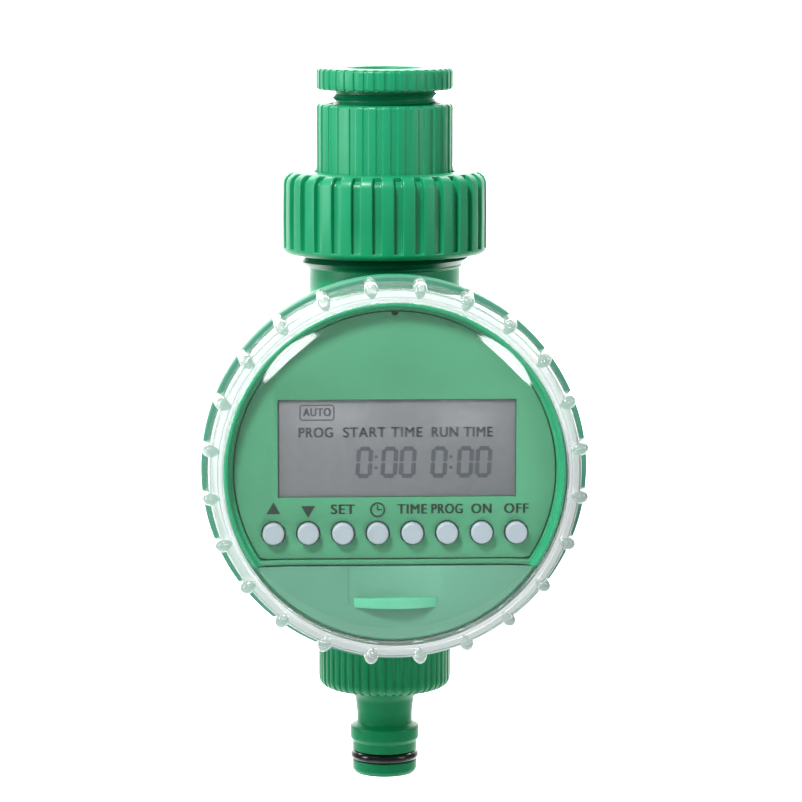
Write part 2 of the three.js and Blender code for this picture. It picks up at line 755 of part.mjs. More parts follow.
// A pinion whose gap faces the wheel that stands on the given bearing.
function pinionShape(bearing) {
  return gearShape(PINION_TEETH, bearing + Math.PI / PINION_TEETH);
}

function gearMesh(name, made, [x, y]) {
  const mesh = part(name, made, gearPlastic);
  mesh.position.set(x, y, 0);
  return mesh;
}

// The wheel on the valve's stem. Its peg works the two limit switches.
function outputGear() {
  const shape = gearShape(WHEEL_TEETH, bearingFrom(OUTPUT_AXIS, SECOND_AXIS));
  const wheel = prism(shape, STAGE.first[0], 23);
  const [x, y] = polar(8, THREE.MathUtils.degToRad(225));
  const peg = post(x, y, 1.4, 22.9, 25.2, 10);
  const square = block([-2.3, 2.3], [-2.3, 2.3], [19, 24]);
  return gearMesh("output_gear", cut(wheel.add(peg), [square]), OUTPUT_AXIS);
}

function secondGear() {
  const pinion = prism(pinionShape(bearingFrom(SECOND_AXIS, OUTPUT_AXIS)), ...STAGE.first);
  const wheelShape = gearShape(WHEEL_TEETH, bearingFrom(SECOND_AXIS, FIRST_AXIS));
  const wheel = prism(wheelShape, STAGE.second[0] - 0.05, 25.6);
  const bore = tube(0, 1.3, 19, 27, 12);
  return gearMesh("second_gear", cut(pinion.add(wheel), [bore]), SECOND_AXIS);
}

function firstGear() {
  const pinion = prism(pinionShape(bearingFrom(FIRST_AXIS, SECOND_AXIS)), ...STAGE.second);
  const wheelShape = gearShape(WHEEL_TEETH, bearingFrom(FIRST_AXIS, MOTOR_AXIS));
  const wheel = prism(wheelShape, STAGE.third[0] - 0.05, STAGE.third[1]);
  const bore = tube(0, 1.3, 22, 30, 12);
  return gearMesh("first_gear", cut(pinion.add(wheel), [bore]), FIRST_AXIS);
}

function motorPinion() {
  const pinion = prism(pinionShape(bearingFrom(MOTOR_AXIS, FIRST_AXIS)), ...STAGE.third);
  const shaft = tube(0, 1, STAGE.third[1] - 0.1, 33.5, 12);
  return gearMesh("motor_pinion", pinion.add(shaft), MOTOR_AXIS);
}

function gearPin(name, [x, y], low) {
  const mesh = part(name, tube(0, 1, low, GEARBOX.lid + 1.2, 12), brightSteel);
  mesh.position.set(x, y, 0);
  return mesh;
}

function gearboxOutline(inset) {
  const width = GEARBOX.right - GEARBOX.left - 2 * inset;
  const height = GEARBOX.top - GEARBOX.bottom - 2 * inset;
  return roundedRectangle(width, height, 8 - inset);
}

function gearboxMesh(name, made) {
  const mesh = part(name, made, gearPlastic);
  mesh.position.set((GEARBOX.left + GEARBOX.right) / 2, (GEARBOX.top + GEARBOX.bottom) / 2, 0);
  return mesh;
}

// A point of the dial, in the frame of the gearbox's own middle.
function inGearbox([x, y]) {
  return [x - (GEARBOX.left + GEARBOX.right) / 2, y - (GEARBOX.top + GEARBOX.bottom) / 2];
}

function gearboxBase() {
  const tray = prism(gearboxOutline(0), GEARBOX.back, GEARBOX.lid - GAP, 5);
  const inside = prism(gearboxOutline(1.4), GEARBOX.back + 1.8, 30, 5);
  const stemHole = post(...inGearbox(OUTPUT_AXIS), 3.5, 16, 20);
  const pinHoles = [FIRST_AXIS, SECOND_AXIS].map((axis) => post(...inGearbox(axis), 1.3, 16, 20, 12));
  return gearboxMesh("gearbox_base", cut(tray, [inside, stemHole, ...pinHoles]));
}

function gearboxLid() {
  const plate = prism(gearboxOutline(0), GEARBOX.lid, GEARBOX.lid + 1.4, 5);
  const shaftHole = post(...inGearbox(MOTOR_AXIS), 1.6, 28, 31, 12);
  const pinHoles = [FIRST_AXIS, SECOND_AXIS].map((axis) => post(...inGearbox(axis), 1.3, 28, 31, 12));
  return gearboxMesh("gearbox_lid", cut(plate, [shaftHole, ...pinHoles]));
}

// A small motor with two flats, standing on the gearbox lid.
function motor() {
  const low = GEARBOX.lid + 1.4 + GAP;
  const can = cut(tube(0, 8, low, 45.6, 24), [
    block([-9, 9], [6, 9], [low - 1, 47]),
    block([-9, 9], [-9, -6], [low - 1, 47]),
  ]);
  const bore = tube(0, 1.4, low - 1, 34, 12);
  const mesh = part("motor", cut(can, [bore]), brightSteel);
  mesh.position.set(...MOTOR_AXIS, 0);
  return mesh;
}

function limitSwitch(name, [x0, x1], [y0, y1]) {
  return part(name, block([x0, x1], [y0, y1], [23.4, 25.8]), blackRubber);
}

function valveStem() {
  const shaft = tube(0, 3, 9.6, 18.2, SMALL_ROUND);
  const square = block([-2, 2], [-2, 2], [18, 23]);
  const tang = block([-1.1, 1.1], [-2.6, 2.6], [6.8, 10]);
  const mesh = part("valve_stem", joined([shaft, square, tang]), brass);
  mesh.position.set(...OUTPUT_AXIS, 0);
  return mesh;
}

function stemORing() {
  const mesh = part("stem_o_ring", oRing(4, 0.7, 11.5, 16), blackRubber);
  mesh.position.set(...OUTPUT_AXIS, 0);
  return mesh;
}

function stemBush() {
  const mesh = part("stem_bush", tube(3.3, 4.6, 12.6, 16.8, SMALL_ROUND), brass);
  mesh.position.set(...OUTPUT_AXIS, 0);
  return mesh;
}

// ---- Clear cover --------------------------------------------------------------------------

// A screw-on cap: a flat window, a short wall and 24 grip lugs.
function clearCover() {
  const lugs = 24;
  const wall = turned(
    [
      [0, COVER_FRONT],
      [0, WINDOW_BACK],
      [COVER_WALL_IN, WINDOW_BACK],
      [COVER_WALL_IN, FLANGE_FRONT + 2.6],
      [42.3, FLANGE_FRONT + 2.6],
      [42.3, FLANGE_FRONT + GAP],
      [43.7, FLANGE_FRONT + GAP],
      [42.6, COVER_FRONT - 0.6],
      [42, COVER_FRONT],
    ],
    DIAL_ROUND,
  );
  const bars = Array.from({ length: lugs }, (_, i) => {
    const bar = new THREE.BoxGeometry(3.6, 2.8, 7.4).translate(43, 0, 60.7);
    return solid(bar.rotateZ(((i + 0.5) * 2 * Math.PI) / lugs));
  });
  const bore = tube(0, COVER_WALL_IN, 45, WINDOW_BACK, DIAL_ROUND);
  const rebate = tube(0, 42.3, 45, FLANGE_FRONT + 2.6, DIAL_ROUND);
  return part("clear_cover", cut(joined([wall, ...bars]), [bore, rebate]), clearPlastic);
}

function coverSeal() {
  return part("cover_seal", tube(40.3, 42, FLANGE_FRONT + GAP, FLANGE_FRONT + 2.3, DIAL_ROUND), whiteSeal);
}

// ---- Assembly -----------------------------------------------------------------------------

const inlet = new THREE.Group();
inlet.add(reducer(), reducerWasher(), tapAdapter(), inletWasher(), inletFilter(), couplingNut());

const valve = new THREE.Group();
valve.add(
  valveBody(),
  outletTube(),
  ballSeat("ball_seat_upper", -75.6, -71.8),
  ballSeat("ball_seat_lower", -92.3, -88.4),
  ball(),
);

const outlet = new THREE.Group();
outlet.add(connectorWasher(), hoseConnector(), connectorORing());

const clock = new THREE.Group();
clock.add(rearHousing(), frontHousing(), housingGasket(), facePlate());
clock.add(displayPanel(), displayFrame(), circuitBoard());
clock.add(...KEY_NAMES.map(key));
fourCorners(CASE_SCREW).forEach((place, i) => {
  clock.add(screw("case_screw_" + (i + 1), place, 34, 2.9, 2.2, 1.45, 14));
});
[-1, 1].forEach((side, i) => {
  const place = [side * BOARD_SCREW.x, BOARD_SCREW.y];
  clock.add(screw("board_screw_" + (i + 1), place, BOARD_BACK - 0.2, 2.2, 1.6, 1.1, 5.5));
});

const power = new THREE.Group();
power.add(batteryDrawer(), cell("battery_left", -CELL.x, -1), cell("battery_right", CELL.x, 1));
power.add(batteryLink(), contactSpring(), contactPlate());

const drive = new THREE.Group();
drive.add(gearboxBase(), gearboxLid(), motor(), motorPinion(), firstGear(), secondGear());
drive.add(outputGear(), valveStem(), stemORing(), stemBush());
drive.add(gearPin("gear_pin_first", FIRST_AXIS, 18), gearPin("gear_pin_second", SECOND_AXIS, 18));
drive.add(limitSwitch("limit_switch_open", [-9, -2.6], [17.1, 20.9]));
drive.add(limitSwitch("limit_switch_shut", [-11, -4.8], [-1.8, 2]));

const cover = new THREE.Group();
cover.add(clearCover(), coverSeal());

const dial = new THREE.Group();
dial.position.z = DIAL_Z;
dial.rotation.x = Math.PI / 2;
dial.add(clock, power, drive, cover);

const timer = new THREE.Group();
timer.add(inlet, valve, outlet, dial);

export default timer;
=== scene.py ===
# %% [markdown]
# # A tap timer for drip irrigation
# A battery clock in a round green case drives a ball valve in the pipe behind it. The CAD frame
# is loaded first and is never moved. Every visible piece is then modelled again at full detail
# in its CAD solid's place, and it rides on the same body. Lengths below are in millimetres.

import json
import math

import bmesh
import bpy
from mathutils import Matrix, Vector


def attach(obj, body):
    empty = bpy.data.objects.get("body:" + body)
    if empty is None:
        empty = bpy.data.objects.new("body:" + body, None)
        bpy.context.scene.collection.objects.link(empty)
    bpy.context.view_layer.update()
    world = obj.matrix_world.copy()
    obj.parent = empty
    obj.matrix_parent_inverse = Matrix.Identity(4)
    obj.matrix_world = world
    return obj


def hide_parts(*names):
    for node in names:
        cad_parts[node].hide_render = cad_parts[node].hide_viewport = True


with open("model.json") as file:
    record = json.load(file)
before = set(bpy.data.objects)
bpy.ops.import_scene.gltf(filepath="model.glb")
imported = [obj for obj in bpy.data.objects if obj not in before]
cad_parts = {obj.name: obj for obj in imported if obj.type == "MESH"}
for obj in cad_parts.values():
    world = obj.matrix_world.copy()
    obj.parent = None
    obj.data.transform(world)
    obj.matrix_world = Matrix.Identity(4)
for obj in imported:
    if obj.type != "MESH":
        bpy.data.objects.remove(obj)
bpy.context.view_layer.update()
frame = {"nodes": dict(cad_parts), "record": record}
MM = 0.001

# %% [markdown]
# ## Colours and nodes
# Colours are written as sRGB hex values and turned to linear light by one function. One more
# function adds a shader node with its settings and its links, so a material reads as a list.


# %% Colour and node helpers
def linear(hex_colour):
    """An sRGB hex colour as linear light, with full alpha."""
    channels = [int(hex_colour[i : i + 2], 16) / 255 for i in (1, 3, 5)]
    return tuple(c / 12.92 if c <= 0.04045 else ((c + 0.055) / 1.055) ** 2.4 for c in channels) + (1.0,)


def node(tree, kind, settings=None, **inputs):
    """Add a node. settings are its properties; inputs are socket values or links."""
    made = tree.nodes.new(kind)
    for key, value in (settings or {}).items():
        setattr(made, key, value)
    for key, value in inputs.items():
        numbered = key[0] == "i" and key[1:].isdigit()
        socket = made.inputs[int(key[1:]) if numbered else key.replace("_", " ")]
        if isinstance(value, bpy.types.NodeSocket):
            tree.links.new(value, socket)
        else:
            socket.default_value = value
    return made


def new_material(name):
    """A material with a lone Principled shader wired to its output."""
    made = bpy.data.materials.new(name)
    made.use_nodes = True
    tree = made.node_tree
    tree.nodes.clear()
    shader = node(tree, "ShaderNodeBsdfPrincipled")
    node(tree, "ShaderNodeOutputMaterial", Surface=shader.outputs[0])
    place = node(tree, "ShaderNodeTexCoord").outputs["Object"]
    return made, tree, shader, place


def ramp(tree, factor, dark, light, low=0.3, high=0.7):
    """Run between two colours as a pattern rises from low to high."""
    made = node(tree, "ShaderNodeValToRGB", Fac=factor)
    made.color_ramp.elements[0].position = low
    made.color_ramp.elements[0].color = linear(dark)
    made.color_ramp.elements[1].position = high
    made.color_ramp.elements[1].color = linear(light)
    return made.outputs["Color"]


def moulded(name, dark, light, roughness, grain_mm=0.35, bump_mm=0.006, specular=0.4):
    """An injection-moulded plastic: slow colour drift, spark-eroded grain and faint scuffs."""
    made, tree, shader, place = new_material(name)
    drift = node(tree, "ShaderNodeTexNoise", Vector=place, Scale=60.0, Detail=3.0).outputs[0]
    tree.links.new(ramp(tree, drift, dark, light), shader.inputs["Base Color"])
    grain = node(tree, "ShaderNodeTexNoise", Vector=place, Scale=1000 / grain_mm, Detail=2.0).outputs[0]
    scuffs = node(tree, "ShaderNodeTexNoise", Vector=place, Scale=180.0, Detail=6.0).outputs[0]
    rough = node(tree, "ShaderNodeMapRange", Value=scuffs)
    rough.inputs["To Min"].default_value = roughness - 0.05
    rough.inputs["To Max"].default_value = roughness + 0.07
    tree.links.new(rough.outputs[0], shader.inputs["Roughness"])
    bump = node(tree, "ShaderNodeBump", Height=grain, Strength=0.5, Distance=bump_mm * MM)
    tree.links.new(bump.outputs[0], shader.inputs["Normal"])
    shader.inputs["IOR"].default_value = 1.5
    shader.inputs["Specular IOR Level"].default_value = specular
    return made


# %% [markdown]
# ## Moulded plastics
# The fittings and the case are injection-moulded ABS and polypropylene. Their moulds are
# finely spark-eroded, which gives a satin skin: highlights are soft, with a grain of about a
# third of a millimetre. The printed panel is a flatter, paler green. The hose connector has a
# darker green with less shine, which is painted shade: the dial's shadow over it.

# %% Green and pale plastics
abs_green = moulded("satin_green_abs", "#0e855a", "#128e61", 0.36)
# The hose connector's darker green is painted shade, for the dial's shadow that falls on it.
spigot_painted_shade = moulded("spigot_abs_painted_shade", "#077a4c", "#0b8254", 0.36, specular=0.2)
case_green = moulded("case_green_abs", "#128a5e", "#169365", 0.34)
# The flange's darker, duller green is painted shade, for the dimming by the clear cover's wall.
flange_painted_shade = moulded("matt_flange_painted_shade", "#3f7f68", "#46876f", 0.5, specular=0.3)
# The thread's darker green is painted shadow, for the shade under the coupling nut.
thread_painted_shadow = moulded("thread_abs_painted_shadow", "#0a5b3d", "#0c6545", 0.3)
panel_green = moulded("matt_panel_green", "#3b815e", "#418764", 0.55, grain_mm=0.25, specular=0.35)
# The door's paler, greyer green is painted reflection, for the veil that the window mirrors over it.
door_painted_veil = moulded("door_abs_painted_veil", "#4b826b", "#518871", 0.5, specular=0.4)
# The ridge's brighter green is a painted highlight, for the light on its top; its gloss is real.
ridge_painted_highlight = moulded("glossy_ridge_painted_highlight", "#4fa582", "#55ab88", 0.35, specular=0.5)
key_plastic = moulded("pale_grey_key_plastic", "#8f9ba2", "#97a3aa", 0.45, bump_mm=0.003)
natural_acetal = moulded("natural_acetal_gears", "#e0ded4", "#ecebe3", 0.4, bump_mm=0.003)
cell_sleeve = moulded("printed_cell_sleeve", "#34393f", "#40464d", 0.3, bump_mm=0.002)
board_laminate = moulded("glass_epoxy_board", "#1b5a33", "#246b3e", 0.45, grain_mm=1.2, bump_mm=0.01)
pale_seal = moulded("ptfe_and_silicone_seal", "#dcdad1", "#e8e6de", 0.5, bump_mm=0.003)
print("moulded plastics made")

# %% [markdown]
# ## Rubber, metal and the display
# The rubber is nearly black and smooth, so it has small bright highlights. The steel and brass
# pieces keep Blender's default IOR, and a fine stretched noise gives them turning marks. The
# display is a grey liquid crystal cell, whose polariser film is smooth with a faint mottle.

# %% Rubber, metal and display materials
black_rubber = moulded("black_nitrile_rubber", "#070908", "#0c0e0d", 0.16, grain_mm=0.5, specular=0.4)
printed_ink = moulded("printed_dark_ink", "#1f2e27", "#26362e", 0.6, bump_mm=0.001, specular=0.2)
segment_grey = moulded("liquid_crystal_segments", "#42474c", "#484d52", 0.4, bump_mm=0.001)
# The darker green in the gaps is painted shade, for the shade behind the panel.
gap_shadow = moulded("gap_plastic_painted_shade", "#0f5c3a", "#12633f", 0.6)


def turned_metal(name, dark, light, roughness):
    """A plated or turned metal, with marks stretched along Z."""
    made, tree, shader, place = new_material(name)
    stretched = node(tree, "ShaderNodeMapping", Vector=place)
    stretched.inputs["Scale"].default_value = (1, 1, 12)
    marks = node(tree, "ShaderNodeTexNoise", Vector=stretched.outputs[0], Scale=900.0, Detail=4.0).outputs[0]
    tree.links.new(ramp(tree, marks, dark, light), shader.inputs["Base Color"])
    rough = node(tree, "ShaderNodeMapRange", Value=marks)
    rough.inputs["To Min"].default_value = roughness - 0.06
    rough.inputs["To Max"].default_value = roughness + 0.08
    tree.links.new(rough.outputs[0], shader.inputs["Roughness"])
    shader.inputs["Metallic"].default_value = 1.0
    return made


plated_steel = turned_metal("zinc_plated_steel", "#b3b5b7", "#cfd1d3", 0.3)
turned_brass = turned_metal("turned_brass", "#b9964c", "#d2b068", 0.3)


def display_film():
    """The display's grey polariser: smooth, with a faint mottle."""
    made, tree, shader, place = new_material("liquid_crystal_film")
    mottle = node(tree, "ShaderNodeTexNoise", Vector=place, Scale=900.0, Detail=2.0).outputs[0]
    tree.links.new(ramp(tree, mottle, "#6d6f73", "#727478"), shader.inputs["Base Color"])
    shader.inputs["Roughness"].default_value = 0.3
    return made


lcd_film = display_film()

# %% [markdown]
# ## Clear cover plastic
# The cover is clear SAN, like a drinking cup. It is polished all over, so it transmits almost
# everything and mirrors the lights. Its wall is seen end-on and carries the white of the seal
# behind it forwards; the pale diffuse share given to the front edge, the wall and the lugs is
# painted light and reflection, standing in for this carried light and for the glare in the plastic.


# %% Clear materials
def clear_plastic(name, roughness, colour="#fbfdfc", clarity=1.0):
    """A clear plastic with a slow ripple. clarity is the share of light that passes."""
    made, tree, shader, place = new_material(name)
    ripple = node(tree, "ShaderNodeTexNoise", Vector=place, Scale=25.0, Detail=1.0).outputs[0]
    bump = node(tree, "ShaderNodeBump", Height=ripple, Strength=0.15, Distance=0.02 * MM)
    tree.links.new(bump.outputs[0], shader.inputs["Normal"])
    shader.inputs["Base Color"].default_value = linear(colour)
    shader.inputs["Roughness"].default_value = roughness
    shader.inputs["IOR"].default_value = 1.5
    shader.inputs["Transmission Weight"].default_value = clarity
    return made


window_clear = clear_plastic("polished_clear_san", 0.05)
# The pale diffuse share of these three is painted reflection and light carried by the clear plastic.
wall_clear = clear_plastic("clear_san_seen_end_on", 0.1, "#dbe6e2", 0.93)
lug_clear = clear_plastic("clear_san_lugs", 0.06, "#f1f5f4", 0.82)
pale_edge_painted_glare = clear_plastic("clear_san_with_painted_glare", 0.15, "#e8eaec", 0.62)
clear_silicone = clear_plastic("translucent_silicone", 0.35, "#d9dfdd", 0.6)
print("clear materials made")

# %% [markdown]
# ## Modelling helpers
# Most of this object is turned or moulded round one axis. A turned piece starts as a circle
# whose edge is extruded and scaled, ring by ring, up its section. The section is written as
# corners of (radius, height, fillet), and each fillet becomes a short arc of rings.


# %% Turning
def deselect():
    """Go to object mode, with nothing selected."""
    if bpy.context.mode != "OBJECT":
        bpy.ops.object.mode_set(mode="OBJECT")
    bpy.ops.object.select_all(action="DESELECT")


def pick(piece):
    """Make a piece the active one, with nothing else selected."""
    deselect()
    bpy.context.view_layer.objects.active = piece
    piece.select_set(True)


def filleted(corners, steps=5):
    """Replace each (radius, height, fillet) corner with an arc of rings."""
    rings = []
    for i, corner in enumerate(corners):
        ends = i in (0, len(corners) - 1)
        if len(corner) < 3 or ends:
            rings.append(tuple(corner[:2]))
            continue
        here = Vector(corner[:2])
        back = Vector(corners[i - 1][:2]) - here
        ahead = Vector(corners[i + 1][:2]) - here
        half = back.angle(ahead) / 2
        reach = min(corner[2] / math.tan(half), 0.48 * back.length, 0.48 * ahead.length)
        start, end = here + back.normalized() * reach, here + ahead.normalized() * reach
        centre = here + (back.normalized() + ahead.normalized()).normalized() * reach / math.cos(half)
        a, b = start - centre, end - centre
        for k in range(steps + 1):
            t = k / steps
            swing = a.angle(b)
            v = (a * math.sin((1 - t) * swing) + b * math.sin(t * swing)) / math.sin(swing)
            rings.append(tuple(centre + v))
    return rings


def finish_mesh(name, material, smooth=True):
    """Merge doubles, turn the faces out, and name the active piece."""
    bpy.ops.object.mode_set(mode="EDIT")
    bpy.ops.mesh.select_all(action="SELECT")
    bpy.ops.mesh.remove_doubles(threshold=1e-6)
    bpy.ops.mesh.normals_make_consistent(inside=False)
    bpy.ops.object.mode_set(mode="OBJECT")
    piece = bpy.context.active_object
    piece.name = name
    piece.data.materials.clear()
    piece.data.materials.append(material)
    bpy.ops.object.select_all(action="DESELECT")
    piece.select_set(True)
    bpy.ops.object.transform_apply(location=True, rotation=True, scale=True)
    if smooth:
        bpy.ops.object.shade_smooth_by_angle(angle=math.radians(32))
    return piece


def turned(name, corners, material, sides=128, steps=5):
    """Extrude a circle's edge up a section. An open section is capped at both ends."""
    deselect()
    rings = filleted(corners, steps)
    closed = rings[0] == rings[-1]
    (r0, z0) = rings[0]
    bpy.ops.mesh.primitive_circle_add(
        vertices=sides, radius=r0 * MM, fill_type="NOTHING", location=(0, 0, z0 * MM)
    )
    bpy.ops.object.mode_set(mode="EDIT")
    bpy.ops.mesh.select_mode(type="EDGE")
    bpy.ops.mesh.select_all(action="SELECT")
    if not closed:
        bpy.ops.mesh.edge_face_add()
    for (ra, za), (rb, zb) in zip(rings, rings[1:]):
        bpy.ops.mesh.extrude_edges_move(TRANSFORM_OT_translate={"value": (0, 0, (zb - za) * MM)})
        bpy.ops.transform.resize(value=(rb / ra, rb / ra, 1), center_override=(0, 0, zb * MM))
    if not closed:
        bpy.ops.mesh.edge_face_add()
    return finish_mesh(name, material)


def ribbed(piece, ribs, groove_share, depth, band, first_groove=0.0, facing=0.6):
    """Press grooves into a turned piece's outer faces, between two heights.

    first_groove is the angle of one groove's middle, in degrees. facing says how squarely
    a face looks outward to be grooved, so a low value runs the grooves over a rounded edge.
    """
    pick(piece)
    bpy.ops.object.mode_set(mode="EDIT")
    bpy.ops.mesh.select_mode(type="FACE")
    bpy.ops.mesh.select_all(action="DESELECT")
    mesh = bmesh.from_edit_mesh(piece.data)
    pitch = 2 * math.pi / ribs
    for face in mesh.faces:
        c = face.calc_center_median()
        outward = Vector((c.x, c.y, 0)).normalized().dot(face.normal) > facing
        turn = (math.atan2(c.y, c.x) - math.radians(first_groove)) / pitch
        in_groove = abs(turn - round(turn)) < groove_share / 2
        face.select = outward and in_groove and band[0] * MM < c.z < band[1] * MM
    mesh.select_flush_mode()
    bmesh.update_edit_mesh(piece.data)
    bpy.ops.mesh.extrude_region_shrink_fatten(TRANSFORM_OT_shrink_fatten={"value": -depth * MM})
    bpy.ops.object.mode_set(mode="OBJECT")
    return piece


def softened(piece, width, segments=2, angle=30):
    """Round a piece's edges with an applied Bevel modifier."""
    pick(piece)
    bevel = piece.modifiers.new("soft_edges", "BEVEL")
    bevel.width = width * MM
    bevel.segments = segments
    bevel.angle_limit = math.radians(angle)
    bevel.harden_normals = False
    bpy.ops.object.modifier_apply(modifier=bevel.name)
    bpy.ops.object.shade_smooth_by_angle(angle=math.radians(40))
    return piece


def combine(piece, tool, operation):
    """Join a second shape to a piece, or cut it away."""
    pick(piece)
    boolean = piece.modifiers.new("combine", "BOOLEAN")
    boolean.operation = operation
    boolean.object = tool
    boolean.solver = "EXACT"
    bpy.ops.object.modifier_apply(modifier=boolean.name)
    bpy.data.objects.remove(tool)
    return piece


def drilled(piece, radius, depth, at, sides=48, turn_x=0.0):
    """Cut a round hole, whose middle stands at a point in millimetres."""
    deselect()
    bpy.ops.mesh.primitive_cylinder_add(
        vertices=sides,
        radius=radius * MM,
        depth=depth * MM,
        location=[c * MM for c in at],
        rotation=(turn_x, 0, 0),
    )
    return combine(piece, bpy.context.active_object, "DIFFERENCE")


def disc(radius, thickness, middle, sides=256):
    """Add a disc on the axis, and open it for editing."""
    deselect()
    bpy.ops.mesh.primitive_cylinder_add(
        vertices=sides, radius=radius * MM, depth=thickness * MM, location=(0, 0, middle * MM)
    )
    bpy.ops.object.mode_set(mode="EDIT")


def halved(chord, keep_above):
    """Cut the piece being edited along a level line, and keep the part above or below it."""
    bpy.ops.mesh.select_all(action="SELECT")
    bpy.ops.mesh.bisect(
        plane_co=(0, chord * MM, 0),
        plane_no=(0, 1, 0),
        use_fill=True,
        clear_inner=keep_above,
        clear_outer=not keep_above,
    )


def box(name, low, high, material, bevel=0.0):
    """A block between two corners, with its edges softened."""
    deselect()
    middle = [(a + b) / 2 * MM for a, b in zip(low, high)]
    bpy.ops.mesh.primitive_cube_add(size=1, location=middle)
    piece = bpy.context.active_object
    piece.scale = [(b - a) * MM for a, b in zip(low, high)]
    piece = finish_mesh(name, material, smooth=False)
    return softened(piece, bevel) if bevel else piece


def placed(name, body, *nodes, slot="green_plastic"):
    """Fix a piece to its body, and let it stand for its CAD solids."""
    piece = bpy.data.objects[name]
    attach(piece, body)
    if nodes:
        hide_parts(*nodes)
    print(name, len(piece.data.polygons), "faces, rides on", body)
    return piece


def moved(piece, x=0.0, y=0.0, z=0.0, turn_x=0.0, turn_z=0.0):
    """Move and turn a piece, and apply it to the mesh."""
    pick(piece)
    piece.rotation_euler = (turn_x, 0, turn_z)
    piece.location = (x * MM, y * MM, z * MM)
    bpy.ops.object.transform_apply(location=True, rotation=True, scale=True)
    return piece


# %% [markdown]
# ## Threads
# A screw thread is one ridge wound round its shank. A four-sided circle stands on edge as the
# ridge's section, and a Screw modifier winds it up the axis.


# %% Thread ridge
def thread(name, crest, depth, pitch, start, turns, material):
    """A ridge out to the crest radius, wound up from a start height."""
    deselect()
    bpy.ops.mesh.primitive_circle_add(
        vertices=4,
        radius=depth * 1.15 * MM,
        fill_type="NOTHING",
        location=((crest - depth * 1.15) * MM, 0, start * MM),
        rotation=(math.pi / 2, 0, 0),
    )
    bpy.ops.object.transform_apply(location=True, rotation=True, scale=True)
    piece = bpy.context.active_object
    wind = piece.modifiers.new("wind", "SCREW")
    wind.angle = 2 * math.pi
    wind.screw_offset = pitch * MM
    wind.iterations = turns
    wind.steps = 96
    wind.render_steps = 96
    wind.use_merge_vertices = False
    bpy.ops.object.modifier_apply(modifier=wind.name)
    bpy.ops.object.mode_set(mode="EDIT")
    bpy.ops.mesh.select_mode(type="EDGE")
    bpy.ops.mesh.select_all(action="DESELECT")
    bpy.ops.mesh.select_non_manifold()
    bpy.ops.mesh.fill()
    return moved(finish_mesh(name, material), turn_z=math.pi / 2)


# %% [markdown]
# ## Inlet fittings
# A reducer bush at the very top takes the tap. It has a knurled flange and a short stretch of
# thread, and screws into a fluted sleeve. The big ribbed nut clamps the sleeve to the body.

# %% Reducer
THREE_QUARTER_CREST = 12.9
THREE_QUARTER_PITCH = 1.814
THREE_QUARTER_DEPTH = 0.85
bush = turned(
    "reducer_bush",
    [
        (9.9, 0),
        (16.9, 0, 0.9),
        (16.9, -5.3, 0.7),
        (12.1, -5.3),
        (12.1, -19.4, 0.5),
        (7.4, -19.4, 0.4),
        (7.4, -14),
        (9.5, -14),
        (9.5, -0.5),
        (9.9, 0),
    ],
    abs_green,
    sides=320,
)
ribbed(bush, 40, 0.45, 0.28, (-5.28, -0.1), -90.5, 0.25)
softened(bush, 0.12, 2, 35)
placed("reducer_bush", "reducer", "reducer")
three_quarter = (THREE_QUARTER_CREST, THREE_QUARTER_DEPTH, THREE_QUARTER_PITCH)
thread("reducer_thread", *three_quarter, -18.6, 7, abs_green)
placed("reducer_thread", "reducer")

# %% Tap adapter
adapter = turned(
    "fluted_adapter",
    [
        (13.3, -10),
        (14.0, -8.8, 0.3),
        (16.9, -8.8, 0.8),
        (16.9, -28.4),
        (20.3, -28.8, 0.3),
        (20.3, -31.7, 0.3),
        (9, -31.7, 0.3),
        (9, -24.5),
        (13.3, -24.5),
        (13.3, -10),
    ],
    abs_green,
    sides=384,
)
ribbed(adapter, 30, 0.45, 0.28, (-28.2, -8.8), -84.3, 0.25)
softened(adapter, 0.12, 2, 35)
placed("fluted_adapter", "tap_adapter", "tap_adapter")

# %% [markdown]
# ## Coupling nut
# Thirty flat-topped ribs give the hand a grip. Grooves of about 2 mm are pressed between
# them, and a plain lip closes the bottom. The shoulder is rounded, and the grooves run over it.

# %% Coupling nut
nut = turned(
    "ribbed_nut",
    [
        (21.15, -45.2),
        (21.7, -45.7, 0.2),
        (25.3, -45.7, 1.6),
        (25.3, -36),
        (25.2, -25.4, 3.0),
        (17.3, -25.4, 0.4),
        (17.3, -28.4),
        (21.15, -28.4),
        (21.15, -45.2),
    ],
    abs_green,
    sides=360,
)
ribbed(nut, 30, 0.42, 1.3, (-43.8, -25.5), -84.2, 0.35)
softened(nut, 0.25, 2, 40)
placed("ribbed_nut", "coupling_nut", "coupling_nut")

# %% Valve body neck
turned(
    "valve_neck",
    [
        (15, -34.7),
        (15.3, -34.4, 0.2),
        (19.9, -34.4, 0.4),
        (19.2, -48.6),
        (18.7, -49.2),
        (18.7, -60, 0.5),
        (14.5, -63),
        (14.5, -97),
        (9.5, -97),
        (9.5, -71.5),
        (5.2, -71.5),
        (5.2, -62),
        (15, -54),
        (15, -34.7),
    ],
    abs_green,
    sides=192,
)
placed("valve_neck", "timer_body", "valve_body")
# The valve thread takes the green with painted shadow from the nut above it.
thread("valve_thread", 20.7, 1.1, 2.309, -48.4, 6, thread_painted_shadow)
placed("valve_thread", "timer_body")

# %% Outlet pipe
turned(
    "outlet_pipe",
    [
        (9.2, -92.6),
        (9.2, -97.3),
        (14.5, -97.3, 0.2),
        (14.5, -100, 0.3),
        (8, -102, 0.5),
        (8, -130, 0.5),
        (12.1, -132, 0.3),
        (12.1, -146.3, 0.4),
        (9, -146.3, 0.3),
        (9, -136, 0.3),
        (5.2, -132, 0.3),
        (5.2, -92.6),
        (9.2, -92.6),
    ],
    abs_green,
    sides=192,
)
placed("outlet_pipe", "timer_body", "outlet_tube")
thread("outlet_thread", *three_quarter, -145.6, 7, abs_green)
placed("outlet_thread", "timer_body")
